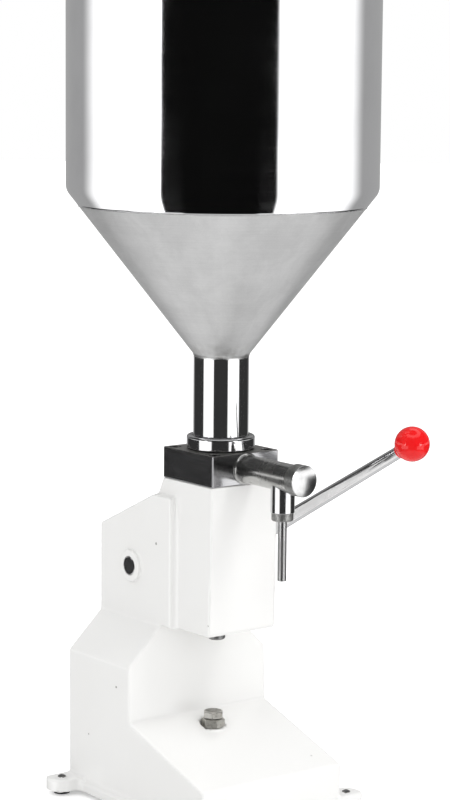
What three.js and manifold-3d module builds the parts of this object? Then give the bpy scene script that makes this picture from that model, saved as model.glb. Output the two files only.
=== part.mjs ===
// Piston liquid filler: open steel hopper over a hand-levered piston pump in a painted casting.
// Millimetres, +Z up. The front (nozzle) faces -Y. Floor at z = 0.
import * as THREE from 'three';
import { mergeVertices } from 'three/addons/utils/BufferGeometryUtils.js';
import Module from 'manifold-3d';

const wasm = await Module();
wasm.setup();

// ---------------------------------------------------------------- driving dimensions
const ORIGIN_Y = 22.8;           // moves the hopper axis so that the origin is the centre of the footprint box
const GAP = 0.3;                // clearance between neighbouring pieces

// hopper
const HOPPER_R = 140.4, HOPPER_TOP = 780, HOPPER_JUNCTION = 570.1, HOPPER_BEND = 13.5, HOPPER_WALL = 1.5;
const RIM_BEAD_R = 2;
const NECK_R = 25.25, NECK_WALL = 1.5, NECK_TOP = 422.5, NECK_BEND = 6.7, NECK_BOTTOM = 337.9;
const RING_R = 31.1, RING_Z0 = 337.5, RING_Z1 = 349;

// valve block
const BLOCK_HALF = 37.25, BLOCK_Z0 = 308.1, BLOCK_Z1 = 336.5;
const BLOCK_SCREW_AT = 29.5;
const CHAMBER_R = 12, PORT_R = 5, OUTLET_Z = 322.5, OUTLET_R = 6;
const INLET_BALL_R = 7, INLET_BALL_Z = 322, INLET_LIFT = 2.5;
const OUTLET_BALL_R = 8, OUTLET_BALL_Y = -50;

// spout and nozzle
const SPOUT_R = 12.7, SPOUT_BORE = 10.2, SPOUT_END = -110.3;
const CAP_R = 14.15, CAP_Y0 = -108.5, CAP_Y1 = -121.7;
const NOZZLE_Y = -90.5, COLLAR_R = 10.8, COLLAR_BAND_R = 9.8, COLLAR_Z0 = 283.4;
const TUBE_R = 4, TUBE_BORE = 3, TUBE_Z0 = 229.1, TUBE_Z1 = 301;

// casting
const BASE_HALF = 79.2, BASE_BACK = 128.4, BASE_FRONT = -81.8, CAST_Z0 = 3.5;
const WALL_Y = 31.5, WALL_FOOT_Z = 84.4, NOSE_Z = 46, SHOULDER_Z0 = 135.5, SHOULDER_Z1 = 169.6;
const COLUMN_HALF = 43.7, COLUMN_FRONT = 17.2, ROOF_BACK_Z = 252.6, ROOF_Y = 44.2, ROOF_Z = 291.8;
const HEAD_HALF = 37.3, HEAD_TOP = 307.8, HEAD_FRONT_TOP = -37.2, HEAD_FRONT_BOTTOM = -34.1, HEAD_Z0 = 170.9;
const SKIN = 6, FLANGE_OUT = 4.6, FLANGE_Z1 = 13;
const LUG_X = 92.8, LUG_Y_BACK = 121, LUG_Y_FRONT = -74, LUG_R = 14.6, LUG_Z1 = 15.5;
const FOOT_R = 8;

// drive
const AXIS_Y = 4;               // piston and rod axis
const BOLT_Y = 8.2;             // stop bolt axis
const SHAFT_Y = 77.8, SHAFT_Z = 219.5, SHAFT_R = 8.5, BOSS_R = 14.8, BOSS_OUT = 3;
const BORE_R = 20.2, LINER_R = 24, LINER_Z0 = 246, LINER_Z1 = 307.5;
const PISTON_Z0 = 288.3, PISTON_Z1 = 304.3;
const ROD_R = 8, ROD_Z0 = 158.3;
const PIN_Z = 230.5, PIN_R = 4, STROKE = 40, SWING_DEG = 30;
const LEVER_X = 78, LEVER_TILT = 28.5, LEVER_LEN = 285, LEVER_R = 5.1, GRIP_R0 = 7.4, GRIP_R1 = 5.5, KNOB_R = 15.5, HUB_R = 17;

// volume stop
const HEAD_FLAT = 17, NUT_FLAT = 19, NUT_Z0 = 74.4, NUT_Z1 = 82.4, HEAD_Z_LOW = 83.2, HEAD_Z_HIGH = 89.6, BOLT_R = 5.8, BOLT_Z0 = 25;

// ---------------------------------------------------------------- helpers
function signedVolume(g) {
  const p = g.attributes.position, ix = g.index;
  let v = 0;
  for (let i = 0; i < ix.count; i += 3) {
    const a = ix.getX(i), b = ix.getX(i + 1), c = ix.getX(i + 2);
    const ax = p.getX(a), ay = p.getY(a), az = p.getZ(a);
    const bx = p.getX(b), by = p.getY(b), bz = p.getZ(b);
    const cx = p.getX(c), cy = p.getY(c), cz = p.getZ(c);
    v += ax * (by * cz - bz * cy) - ay * (bx * cz - bz * cx) + az * (bx * cy - by * cx);
  }
  return v / 6;
}

function solid(geometry) {
  let g = geometry.clone();
  for (const name of Object.keys(g.attributes)) if (name !== 'position') g.deleteAttribute(name);
  g = mergeVertices(g, 1e-4);
  const index = [];
  for (let i = 0; i < g.index.count; i += 3) {
    const a = g.index.getX(i), b = g.index.getX(i + 1), c = g.index.getX(i + 2);
    if (a !== b && b !== c && a !== c) index.push(a, b, c);
  }
  g.setIndex(index);
  if (signedVolume(g) < 0) {
    for (let i = 0; i < index.length; i += 3) [index[i + 1], index[i + 2]] = [index[i + 2], index[i + 1]];
    g.setIndex(index);
  }
  return new wasm.Manifold(new wasm.Mesh({
    numProp: 3,
    vertProperties: new Float32Array(g.attributes.position.array),
    triVerts: new Uint32Array(g.index.array),
  }));
}

const shapeOf = (pts) => new THREE.Shape(pts.map(([a, b]) => new THREE.Vector2(a, b)));
const flat = (shape, depth, curveSegments = 8) =>
  new THREE.ExtrudeGeometry(shape, { depth, bevelEnabled: false, curveSegments });

// profile in (y, z), extruded along X from x0 to x1
function alongX(pts, x0, x1) {
  const g = flat(pts instanceof THREE.Shape ? pts : shapeOf(pts), x1 - x0);
  g.applyMatrix4(new THREE.Matrix4().set(0, 0, 1, x0, 1, 0, 0, 0, 0, 1, 0, 0, 0, 0, 0, 1));
  return solid(g);
}
// profile in (x, z), extruded along Y from y0 to y1
function alongY(pts, y0, y1) {
  const g = flat(pts instanceof THREE.Shape ? pts : shapeOf(pts), y1 - y0);
  g.applyMatrix4(new THREE.Matrix4().set(1, 0, 0, 0, 0, 0, 1, y0, 0, 1, 0, 0, 0, 0, 0, 1));
  return solid(g);
}
// profile in (x, y), extruded along Z from z0 to z1
function alongZ(pts, z0, z1, seg = 8) {
  const g = flat(pts instanceof THREE.Shape ? pts : shapeOf(pts), z1 - z0, seg);
  g.translate(0, 0, z0);
  return solid(g);
}
// turned piece: profile of (radius, height); axis 'z', 'x' or 'y' through the given point
function turned(profile, segments, axis = 'z', at = [0, 0, 0]) {
  const g = new THREE.LatheGeometry(profile.map(([r, h]) => new THREE.Vector2(r, h)), segments);
  const m = new THREE.Matrix4();
  if (axis === 'z') m.set(1, 0, 0, 0, 0, 0, -1, 0, 0, 1, 0, 0, 0, 0, 0, 1);
  if (axis === 'x') m.set(0, 1, 0, 0, 1, 0, 0, 0, 0, 0, -1, 0, 0, 0, 0, 1);
  if (axis === 'y') m.set(1, 0, 0, 0, 0, 1, 0, 0, 0, 0, 1, 0, 0, 0, 0, 1);
  g.applyMatrix4(m);
  g.translate(...at);
  return solid(g);
}
const rod = (r, a, b, segments, axis, at) => turned([[0, a], [r, a], [r, b], [0, b]], segments, axis, at);
const box = (x0, x1, y0, y1, z0, z1) =>
  solid(new THREE.BoxGeometry(x1 - x0, y1 - y0, z1 - z0).translate((x0 + x1) / 2, (y0 + y1) / 2, (z0 + z1) / 2));
const join = (first, ...rest) => rest.reduce((a, b) => a.add(b), first);
const cut = (first, ...rest) => rest.reduce((a, b) => a.subtract(b), first);

function roundedRect(x0, x1, y0, y1, r) {
  const s = new THREE.Shape();
  s.moveTo(x0 + r, y0);
  s.lineTo(x1 - r, y0);
  s.absarc(x1 - r, y0 + r, r, -Math.PI / 2, 0, false);
  s.lineTo(x1, y1 - r);
  s.absarc(x1 - r, y1 - r, r, 0, Math.PI / 2, false);
  s.lineTo(x0 + r, y1);
  s.absarc(x0 + r, y1 - r, r, Math.PI / 2, Math.PI, false);
  s.lineTo(x0, y0 + r);
  s.absarc(x0 + r, y0 + r, r, Math.PI, 1.5 * Math.PI, false);
  return s;
}
function hexagon(flatWidth, turn = 0, at = [0, 0]) {
  const R = flatWidth / Math.sqrt(3), pts = [];
  for (let i = 0; i < 6; i++) {
    const a = turn + (i * Math.PI) / 3;
    pts.push([at[0] + R * Math.cos(a), at[1] + R * Math.sin(a)]);
  }
  return pts;
}

const root = new THREE.Group();
const model = new THREE.Group();
model.position.set(0, ORIGIN_Y, 0);
root.add(model);

const look = {
  paint: { color: '#eceae4', roughness: 0.32, metalness: 0.0 },
  mirror: { color: '#c9cacb', roughness: 0.08, metalness: 1.0 },
  brushed: { color: '#b4b5b6', roughness: 0.32, metalness: 1.0 },
  block: { color: '#9a9b9c', roughness: 0.2, metalness: 1.0 },
  chrome: { color: '#cfd0d2', roughness: 0.06, metalness: 1.0 },
  steel: { color: '#8f8d88', roughness: 0.4, metalness: 1.0 },
  dark: { color: '#3b3b3d', roughness: 0.5, metalness: 1.0 },
  bronze: { color: '#b08a4e', roughness: 0.35, metalness: 1.0 },
  rubber: { color: '#161616', roughness: 0.8, metalness: 0.0 },
  seal: { color: '#d9d6cd', roughness: 0.6, metalness: 0.0 },
  red: { color: '#c81a16', roughness: 0.1, metalness: 0.0 },
};

function add(name, manifold, finish, group = model) {
  const m = manifold.getMesh();
  const g = new THREE.BufferGeometry();
  const np = m.numProp, pos = new Float32Array((m.vertProperties.length / np) * 3);
  for (let i = 0, j = 0; i < m.vertProperties.length; i += np, j += 3) {
    pos[j] = m.vertProperties[i];
    pos[j + 1] = m.vertProperties[i + 1];
    pos[j + 2] = m.vertProperties[i + 2];
  }
  g.setAttribute('position', new THREE.BufferAttribute(pos, 3));
  g.setIndex(new THREE.BufferAttribute(new Uint32Array(m.triVerts), 1));
  g.computeVertexNormals();
  const mesh = new THREE.Mesh(g, new THREE.MeshStandardMaterial(look[finish]));
  mesh.name = name;
  group.add(mesh);
  return mesh;
}

// ---------------------------------------------------------------- painted casting
function lugOutline(sx, y, sy) {
  // one ear: round end, flank running into the skirt with a concave fillet on the inner side
  const inner = BASE_HALF - 4, f = 5;
  const edge = BASE_HALF + FLANGE_OUT;
  const s = [];
  const back = y + sy * 11.6;
  s.push([inner, back]);
  s.push([LUG_X, back]);
  for (let i = 0; i <= 8; i++) {
    const a0 = Math.asin(11.6 / LUG_R);
    const a = a0 + (-Math.PI / 2 - a0) * (i / 8);
    s.push([LUG_X + LUG_R * Math.cos(a), y + sy * LUG_R * Math.sin(a)]);
  }
  for (let i = 0; i <= 4; i++) {
    const a = (i / 4) * (Math.PI / 2);
    s.push([edge + f - f * Math.sin(a), y - sy * (LUG_R + f - f * Math.cos(a))]);
  }
  s.push([inner, y - sy * (LUG_R + f)]);
  const pts = s.map(([x, v]) => [sx * x, v]);
  return sx * sy < 0 ? pts : pts.reverse();
}

function casting() {
  let c = alongX([[BASE_BACK, CAST_Z0], [BASE_BACK, SHOULDER_Z0], [WALL_Y, SHOULDER_Z0], [WALL_Y, WALL_FOOT_Z],
    [BASE_FRONT, NOSE_Z], [BASE_FRONT, CAST_Z0]], -BASE_HALF, BASE_HALF);
  c = join(c,
    alongY([[-BASE_HALF, SHOULDER_Z0 - 3], [BASE_HALF, SHOULDER_Z0 - 3], [BASE_HALF, SHOULDER_Z0], [COLUMN_HALF, SHOULDER_Z1],
      [-COLUMN_HALF, SHOULDER_Z1], [-BASE_HALF, SHOULDER_Z0]], WALL_Y, BASE_BACK),
    alongX([[BASE_BACK, 150], [BASE_BACK, ROOF_BACK_Z], [ROOF_Y, ROOF_Z], [COLUMN_FRONT, ROOF_Z], [COLUMN_FRONT, HEAD_Z0],
      [WALL_Y + 0.5, HEAD_Z0], [WALL_Y + 0.5, 150]], -COLUMN_HALF, COLUMN_HALF),
    alongX([[HEAD_FRONT_TOP, HEAD_TOP], [HEAD_FRONT_BOTTOM, HEAD_Z0], [COLUMN_FRONT + 4, HEAD_Z0], [COLUMN_FRONT + 4, 280], [46, ROOF_Z - 3],
      [46, ROOF_Z - 0.5], [42.3, 297.3], [39.3, 303.5], [37.3, HEAD_TOP]], -HEAD_HALF, HEAD_HALF),
    alongZ(roundedRect(-BASE_HALF - FLANGE_OUT, BASE_HALF + FLANGE_OUT, BASE_FRONT - FLANGE_OUT, BASE_BACK + FLANGE_OUT, 6), CAST_Z0, FLANGE_Z1, 3));
  for (const sx of [-1, 1]) for (const [y, sy] of [[LUG_Y_BACK, 1], [LUG_Y_FRONT, -1]])
    c = c.add(alongZ(lugOutline(sx, y, sy), CAST_Z0, LUG_Z1));

  // hollow inside, open underneath
  const roofIn = (y) => ROOF_BACK_Z - 8 + ((BASE_BACK - y) * (ROOF_Z - ROOF_BACK_Z)) / (BASE_BACK - ROOF_Y);
  c = cut(c,
    alongX([[BASE_BACK - SKIN, 0], [BASE_BACK - SKIN, SHOULDER_Z0 - 6], [WALL_Y + 6.5, SHOULDER_Z0 - 6], [WALL_Y + 6.5, WALL_FOOT_Z - 8],
      [BASE_FRONT + SKIN, NOSE_Z - 8], [BASE_FRONT + SKIN, 0]], -BASE_HALF + SKIN, BASE_HALF - SKIN),
    alongY([[-BASE_HALF + SKIN, SHOULDER_Z0 - 8], [BASE_HALF - SKIN, SHOULDER_Z0 - 8], [BASE_HALF - SKIN, SHOULDER_Z0 - 2.6],
      [COLUMN_HALF - SKIN, SHOULDER_Z1 - 2.6], [-COLUMN_HALF + SKIN, SHOULDER_Z1 - 2.6], [-BASE_HALF + SKIN, SHOULDER_Z0 - 2.6]], WALL_Y + 6.5, BASE_BACK - SKIN),
    alongX([[BASE_BACK - SKIN, 150], [BASE_BACK - SKIN, roofIn(BASE_BACK - SKIN)], [WALL_Y + 6.5, roofIn(WALL_Y + 6.5)], [WALL_Y + 6.5, 150]],
      -COLUMN_HALF + SKIN, COLUMN_HALF - SKIN),
    // chamber behind the front wall where the crank end travels
    box(-31, 31, -28, WALL_Y + 8, 177, 240));

  // inner bosses for the shaft, boss under the ramp for the stop bolt
  c = join(c,
    rod(16, -COLUMN_HALF + 2, -28, 20, 'x', [0, SHAFT_Y, SHAFT_Z]),
    rod(16, 28, COLUMN_HALF - 2, 20, 'x', [0, SHAFT_Y, SHAFT_Z]),
    turned([[0, -COLUMN_HALF - BOSS_OUT], [BOSS_R - 1.6, -COLUMN_HALF - BOSS_OUT], [BOSS_R - 0.5, -COLUMN_HALF - BOSS_OUT + 0.5],
      [BOSS_R, -COLUMN_HALF - BOSS_OUT + 1.6], [BOSS_R, -COLUMN_HALF + 3], [0, -COLUMN_HALF + 3]], 26, 'x', [0, SHAFT_Y, SHAFT_Z]),
    turned([[0, COLUMN_HALF - 3], [BOSS_R, COLUMN_HALF - 3], [BOSS_R, COLUMN_HALF + BOSS_OUT - 1.6], [BOSS_R - 0.5, COLUMN_HALF + BOSS_OUT - 0.5],
      [BOSS_R - 1.6, COLUMN_HALF + BOSS_OUT], [0, COLUMN_HALF + BOSS_OUT]], 26, 'x', [0, SHAFT_Y, SHAFT_Z]),
    rod(12, 46, 74, 24, 'z', [0, BOLT_Y, 0]));

  c = cut(c,
    rod(SHAFT_R + 0.4, -60, 60, 24, 'x', [0, SHAFT_Y, SHAFT_Z]),
    rod(11.9, -40.4, -20, 24, 'x', [0, SHAFT_Y, SHAFT_Z]),
    rod(11.9, 20, 40.4, 24, 'x', [0, SHAFT_Y, SHAFT_Z]),
    rod(LINER_R + GAP + 0.1, LINER_Z0 - GAP, 320, 36, 'z', [0, AXIS_Y, 0]),
    rod(BORE_R - 0.4, 235, 250, 28, 'z', [0, AXIS_Y, 0]),
    rod(12.9, 160, 180, 24, 'z', [0, AXIS_Y, 0]),
    rod(12, 74, 95, 24, 'z', [0, BOLT_Y, 0]),
    rod(BOLT_R + GAP + 0.1, 30, 90, 20, 'z', [0, BOLT_Y, 0]),
    box(-28, 28, BASE_BACK - 10, BASE_BACK + 4, 96, 238));
  for (const sx of [-1, 1]) {
    for (const sy of [-1, 1]) c = c.subtract(rod(3.3, 284, 312, 10, 'z', [sx * BLOCK_SCREW_AT, sy * BLOCK_SCREW_AT, 0]));
    for (const z of [101, 233]) c = c.subtract(rod(2.3, BASE_BACK - 10, BASE_BACK + 4, 10, 'y', [sx * 32, 0, z]));
    for (const y of [LUG_Y_BACK, LUG_Y_FRONT]) c = c.subtract(rod(2.7, 0, 20, 10, 'z', [sx * LUG_X, y, 0]));
  }
  return c;
}
add('body_casting', casting(), 'paint');

// ---------------------------------------------------------------- rear cover and its screws
{
  let p = alongY(roundedRect(-36, 36, 90, 244, 5), BASE_BACK + GAP, BASE_BACK + 2.8);
  for (const sx of [-1, 1]) for (const z of [101, 233]) p = p.subtract(rod(2.3, BASE_BACK - 2, BASE_BACK + 5, 10, 'y', [sx * 32, 0, z]));
  add('rear_cover', p, 'paint');
  let n = 0;
  for (const z of [101, 233]) for (const sx of [-1, 1]) {
    n += 1;
    const s = turned([[0, BASE_BACK - 6], [1.9, BASE_BACK - 6], [1.9, BASE_BACK + 3.1], [4, BASE_BACK + 3.1], [3.8, BASE_BACK + 4.4],
      [2.6, BASE_BACK + 5.2], [0, BASE_BACK + 5.4]], 12, 'y', [sx * 32, 0, z]);
    add('cover_screw_' + n, s.subtract(box(sx * 32 - 2.4, sx * 32 + 2.4, BASE_BACK + 4.2, BASE_BACK + 7, z - 0.5, z + 0.5)), 'steel');
  }
}

// ---------------------------------------------------------------- feet
for (const [tag, sx, y] of [['fl', -1, LUG_Y_FRONT], ['fr', 1, LUG_Y_FRONT], ['rl', -1, LUG_Y_BACK], ['rr', 1, LUG_Y_BACK]]) {
  const at = [sx * LUG_X, y, 0];
  add('foot_' + tag, turned([[0, 0], [FOOT_R - 0.8, 0], [FOOT_R, 0.8], [FOOT_R, CAST_Z0 - GAP], [2.7, CAST_Z0 - GAP], [2.7, 1.6], [0, 1.6]], 16, 'z', at), 'rubber');
  add('foot_screw_' + tag, turned([[0, 2], [2.3, 2], [2.3, 16.6], [1.7, 17.2], [0, 17.2]], 10, 'z', at), 'dark');
}

// ---------------------------------------------------------------- pump: liner, bush, piston, rod
add('cylinder_liner', turned([[BORE_R, LINER_Z0], [LINER_R, LINER_Z0], [LINER_R, LINER_Z1], [BORE_R, LINER_Z1], [BORE_R, LINER_Z0]], 36, 'z', [0, AXIS_Y, 0]), 'brushed');
add('guide_bush', turned([[ROD_R + 0.3, 171.2], [12.5, 171.2], [12.5, 183.5], [ROD_R + 0.3, 183.5], [ROD_R + 0.3, 171.2]], 24, 'z', [0, AXIS_Y, 0]), 'bronze');
add('piston_body', turned([[0, PISTON_Z0 + 11], [6.3, PISTON_Z0 + 11], [6.3, PISTON_Z0], [18.6, PISTON_Z0], [19.4, PISTON_Z0 + 0.8],
  [19.4, PISTON_Z0 + 2.6], [16.7, PISTON_Z0 + 2.6], [16.7, PISTON_Z0 + 6.2], [19.4, PISTON_Z0 + 6.2], [19.4, PISTON_Z0 + 9.4],
  [16.7, PISTON_Z0 + 9.4], [16.7, PISTON_Z0 + 13], [19.4, PISTON_Z0 + 13], [19.4, PISTON_Z1 - 0.8], [18.6, PISTON_Z1], [0, PISTON_Z1]], 28, 'z', [0, AXIS_Y, 0]), 'brushed');
for (const [tag, z] of [['lower', PISTON_Z0 + 2.9], ['upper', PISTON_Z0 + 9.7]])
  add('piston_seal_' + tag, turned([[17.1, z], [19.9, z], [19.9, z + 3], [17.1, z + 3], [17.1, z]], 28, 'z', [0, AXIS_Y, 0]), 'seal');
add('piston_rod', cut(turned([[0, ROD_Z0], [ROD_R - 1.2, ROD_Z0], [ROD_R, ROD_Z0 + 1.2], [ROD_R, PISTON_Z0 - GAP], [6, PISTON_Z0 - GAP], [6, PISTON_Z0 + 10.5], [0, PISTON_Z0 + 10.5]], 24, 'z', [0, AXIS_Y, 0]),
  rod(PIN_R + GAP + 0.1, -20, 20, 16, 'x', [0, AXIS_Y, PIN_Z])), 'chrome');
add('cross_pin', turned([[0, -20.5], [PIN_R - 0.6, -20.5], [PIN_R, -19.9], [PIN_R, 19.9], [PIN_R - 0.6, 20.5], [0, 20.5]], 16, 'x', [0, AXIS_Y, PIN_Z]), 'steel');

// ---------------------------------------------------------------- crank arm with a cam slot for the cross pin
{
  const reach = SHAFT_Y - AXIS_Y, w = PIN_R + 0.45;
  const centre = [];
  for (let i = 0; i <= 5; i++) {
    const t = i / 5, a = (-SWING_DEG * t * Math.PI) / 180;
    const y = -reach, z = PIN_Z - SHAFT_Z - STROKE * t;
    centre.push([y * Math.cos(a) - z * Math.sin(a), y * Math.sin(a) + z * Math.cos(a)]);
  }
  const last = centre[centre.length - 1], before = centre[centre.length - 2];
  const run = Math.hypot(last[0] - before[0], last[1] - before[1]);
  centre.push([last[0] + (14 * (last[0] - before[0])) / run, last[1] + (14 * (last[1] - before[1])) / run]);
  const slotParts = [];
  for (let i = 0; i < centre.length; i++) {
    const [y, z] = centre[i];
    slotParts.push(rod(w, -25, 25, 12, 'x', [0, SHAFT_Y + y, SHAFT_Z + z]));
    if (i > 0) {
      const [py, pz] = centre[i - 1], d = Math.hypot(y - py, z - pz), ny = (-(z - pz) / d) * w, nz = ((y - py) / d) * w;
      slotParts.push(alongX([[py + ny, pz + nz], [py - ny, pz - nz], [y - ny, z - nz], [y + ny, z + nz]].map(([u, v]) => [SHAFT_Y + u, SHAFT_Z + v]), -25, 25));
    }
  }
  const slot = join(...slotParts);
  const mean = Math.atan2(last[1], -last[0]);
  const tip = -last[0] / Math.cos(mean) + 4.6;
  const cheekAt = (u, v) => [SHAFT_Y - u * Math.cos(mean) - v * Math.sin(mean), SHAFT_Z + u * Math.sin(mean) - v * Math.cos(mean)];
  const cheek = [cheekAt(0, -14), cheekAt(0, 14), cheekAt(58, 7.6), cheekAt(tip, 7.6), cheekAt(tip, -7.6), cheekAt(58, -7.6)];
  let arm = join(alongX(cheek, 13.5, 19.5), alongX(cheek, -19.5, -13.5),
    rod(15, -19.5, 19.5, 24, 'x', [0, SHAFT_Y, SHAFT_Z]),
    alongX([cheekAt(12, -8), cheekAt(12, 8), cheekAt(34, 6), cheekAt(34, -6)], -15, 15));
  arm = cut(arm, slot, rod(SHAFT_R + GAP + 0.1, -25, 25, 24, 'x', [0, SHAFT_Y, SHAFT_Z]),
    rod(2.8, 0, 20, 10, 'z', [0, SHAFT_Y, SHAFT_Z]));
  add('crank_arm', arm, 'steel');
  add('arm_set_screw', cut(rod(2.5, 8.8, 15.8, 12, 'z', [0, SHAFT_Y, SHAFT_Z]),
    alongZ(hexagon(2.5, 0, [0, SHAFT_Y]), SHAFT_Z + 13.5, SHAFT_Z + 17)), 'dark');
}

// ---------------------------------------------------------------- shaft, bushes, hand lever
add('lever_shaft', turned([[0, -COLUMN_HALF - BOSS_OUT - 0.1], [SHAFT_R - 0.5, -COLUMN_HALF - BOSS_OUT - 0.1], [SHAFT_R, -COLUMN_HALF - BOSS_OUT + 0.4],
  [SHAFT_R, 90.6], [SHAFT_R - 0.8, 91.4], [0, 91.4]], 24, 'x', [0, SHAFT_Y, SHAFT_Z]), 'steel');
add('shaft_bush_left', turned([[SHAFT_R + 0.3, -40.1], [SHAFT_R + 0.3, -26.5], [11.5, -26.5], [11.5, -40.1], [SHAFT_R + 0.3, -40.1]], 24, 'x', [0, SHAFT_Y, SHAFT_Z]), 'bronze');
add('shaft_bush_right', turned([[SHAFT_R + 0.3, 26.5], [SHAFT_R + 0.3, 40.1], [11.5, 40.1], [11.5, 26.5], [SHAFT_R + 0.3, 26.5]], 24, 'x', [0, SHAFT_Y, SHAFT_Z]), 'bronze');
{
  const lever = new THREE.Group();
  lever.position.set(LEVER_X, SHAFT_Y, SHAFT_Z);
  lever.rotation.x = (Math.PI / 180) * (90 - LEVER_TILT);    // local +Z runs out along the lever
  model.add(lever);
  let hub = join(turned([[0, -11], [HUB_R - 1.4, -11], [HUB_R, -9.6], [HUB_R, 9.6], [HUB_R - 1.4, 11], [0, 11]], 26, 'x'),
    turned([[0, 0], [9, 0], [9, 25], [8, 26], [0, 26]], 20, 'z'));
  hub = cut(hub, rod(SHAFT_R + GAP + 0.1, -20, 20, 24, 'x'), rod(LEVER_R + GAP, 11.5, 30, 18, 'z'), rod(2.8, -20, 0, 10, 'z'));
  add('lever_hub', hub, 'chrome', lever);
  add('lever_hub_screw', cut(rod(2.5, -15.8, -8.8, 12, 'z'), alongZ(hexagon(2.5), -17, -13.6)), 'dark', lever);
  add('lever_rod', turned([[0, 12], [LEVER_R - 0.8, 12], [LEVER_R, 12.8], [LEVER_R, 26.4], [GRIP_R0 - 0.8, 26.4], [GRIP_R0, 27.2], [GRIP_R1, 267.4], [LEVER_R, 267.4],
    [LEVER_R, LEVER_LEN - 2.6], [LEVER_R - 0.6, LEVER_LEN - 2], [0, LEVER_LEN - 2]], 22, 'z'), 'chrome', lever);
  const ball = solid(new THREE.SphereGeometry(KNOB_R, 24, 14).rotateX(Math.PI / 2).translate(0, 0, LEVER_LEN));
  const neck = turned([[0, 267.7], [6.8, 267.7], [7.2, 268.1], [7.2, 274], [0, 274]], 22, 'z');
  add('ball_knob', join(ball, neck).subtract(rod(LEVER_R + GAP, LEVER_LEN - 20, LEVER_LEN - 1.6, 18, 'z')), 'red', lever);
}

// ---------------------------------------------------------------- valve block
{
  let b = alongZ(roundedRect(-BLOCK_HALF, BLOCK_HALF, -BLOCK_HALF, BLOCK_HALF, 1), BLOCK_Z0, BLOCK_Z1, 2);
  b = cut(b,
    turned([[0, 300], [CHAMBER_R, 300], [CHAMBER_R, 320.3], [PORT_R, 327.3], [PORT_R, 330], [19, 330], [19, 345], [0, 345]], 24, 'z'),
    rod(OUTLET_R, -45, 0, 14, 'y', [0, 0, OUTLET_Z]),
    rod(9.8, -45, -31, 20, 'y', [0, 0, OUTLET_Z]));
  for (const sx of [-1, 1]) for (const sy of [-1, 1]) b = cut(b,
    rod(5.5, 329.3, 345, 16, 'z', [sx * BLOCK_SCREW_AT, sy * BLOCK_SCREW_AT, 0]),
    rod(3.3, 300, 335, 10, 'z', [sx * BLOCK_SCREW_AT, sy * BLOCK_SCREW_AT, 0]));
  add('valve_block', b, 'block');
  let n = 0;
  for (const sy of [-1, 1]) for (const sx of [-1, 1]) {
    n += 1;
    const at = [sx * BLOCK_SCREW_AT, sy * BLOCK_SCREW_AT, 0];
    const s = turned([[0, 288], [2.9, 288], [2.9, 329.6], [5.1, 329.6], [5.1, 335.2], [4.6, 335.8], [0, 335.8]], 14, 'z', at);
    add('block_screw_' + n, s.subtract(alongZ(hexagon(5, 0, at), 332.6, 340)), 'dark');
  }
}
function spring(radius, wire, from, to, turns, axis, at) {
  class Coil extends THREE.Curve {
    getPoint(t, target = new THREE.Vector3()) {
      const a = 2 * Math.PI * turns * t;
      const h = from + wire + (to - from - 2 * wire) * t;
      return target.set(radius * Math.cos(a), radius * Math.sin(a), h);
    }
  }
  const s = new THREE.Shape();
  s.absarc(0, 0, wire, 0, 2 * Math.PI, false);
  const g = new THREE.ExtrudeGeometry(s, { steps: Math.round(turns * 9), curveSegments: 2, extrudePath: new Coil() });
  if (axis === 'y') g.rotateX(Math.PI / 2);
  g.translate(...at);
  return solid(g);
}
add('inlet_ball', solid(new THREE.SphereGeometry(INLET_BALL_R, 14, 9).rotateX(Math.PI / 2).translate(0, 0, INLET_BALL_Z)), 'mirror');
add('inlet_spring', spring(3.4, 0.5, 310.1, 315.3, 2.5, 'z', [0, 0, 0]), 'brushed');
{
  let r = rod(11.6, 308.3, 309.8, 20, 'z');
  for (let i = 0; i < 4; i++) {
    const a = (i * Math.PI) / 2 + Math.PI / 4;
    r = r.subtract(rod(2.9, 300, 315, 8, 'z', [7 * Math.cos(a), 7 * Math.sin(a), 0]));
  }
  add('inlet_retainer', r, 'brushed');
}

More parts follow.
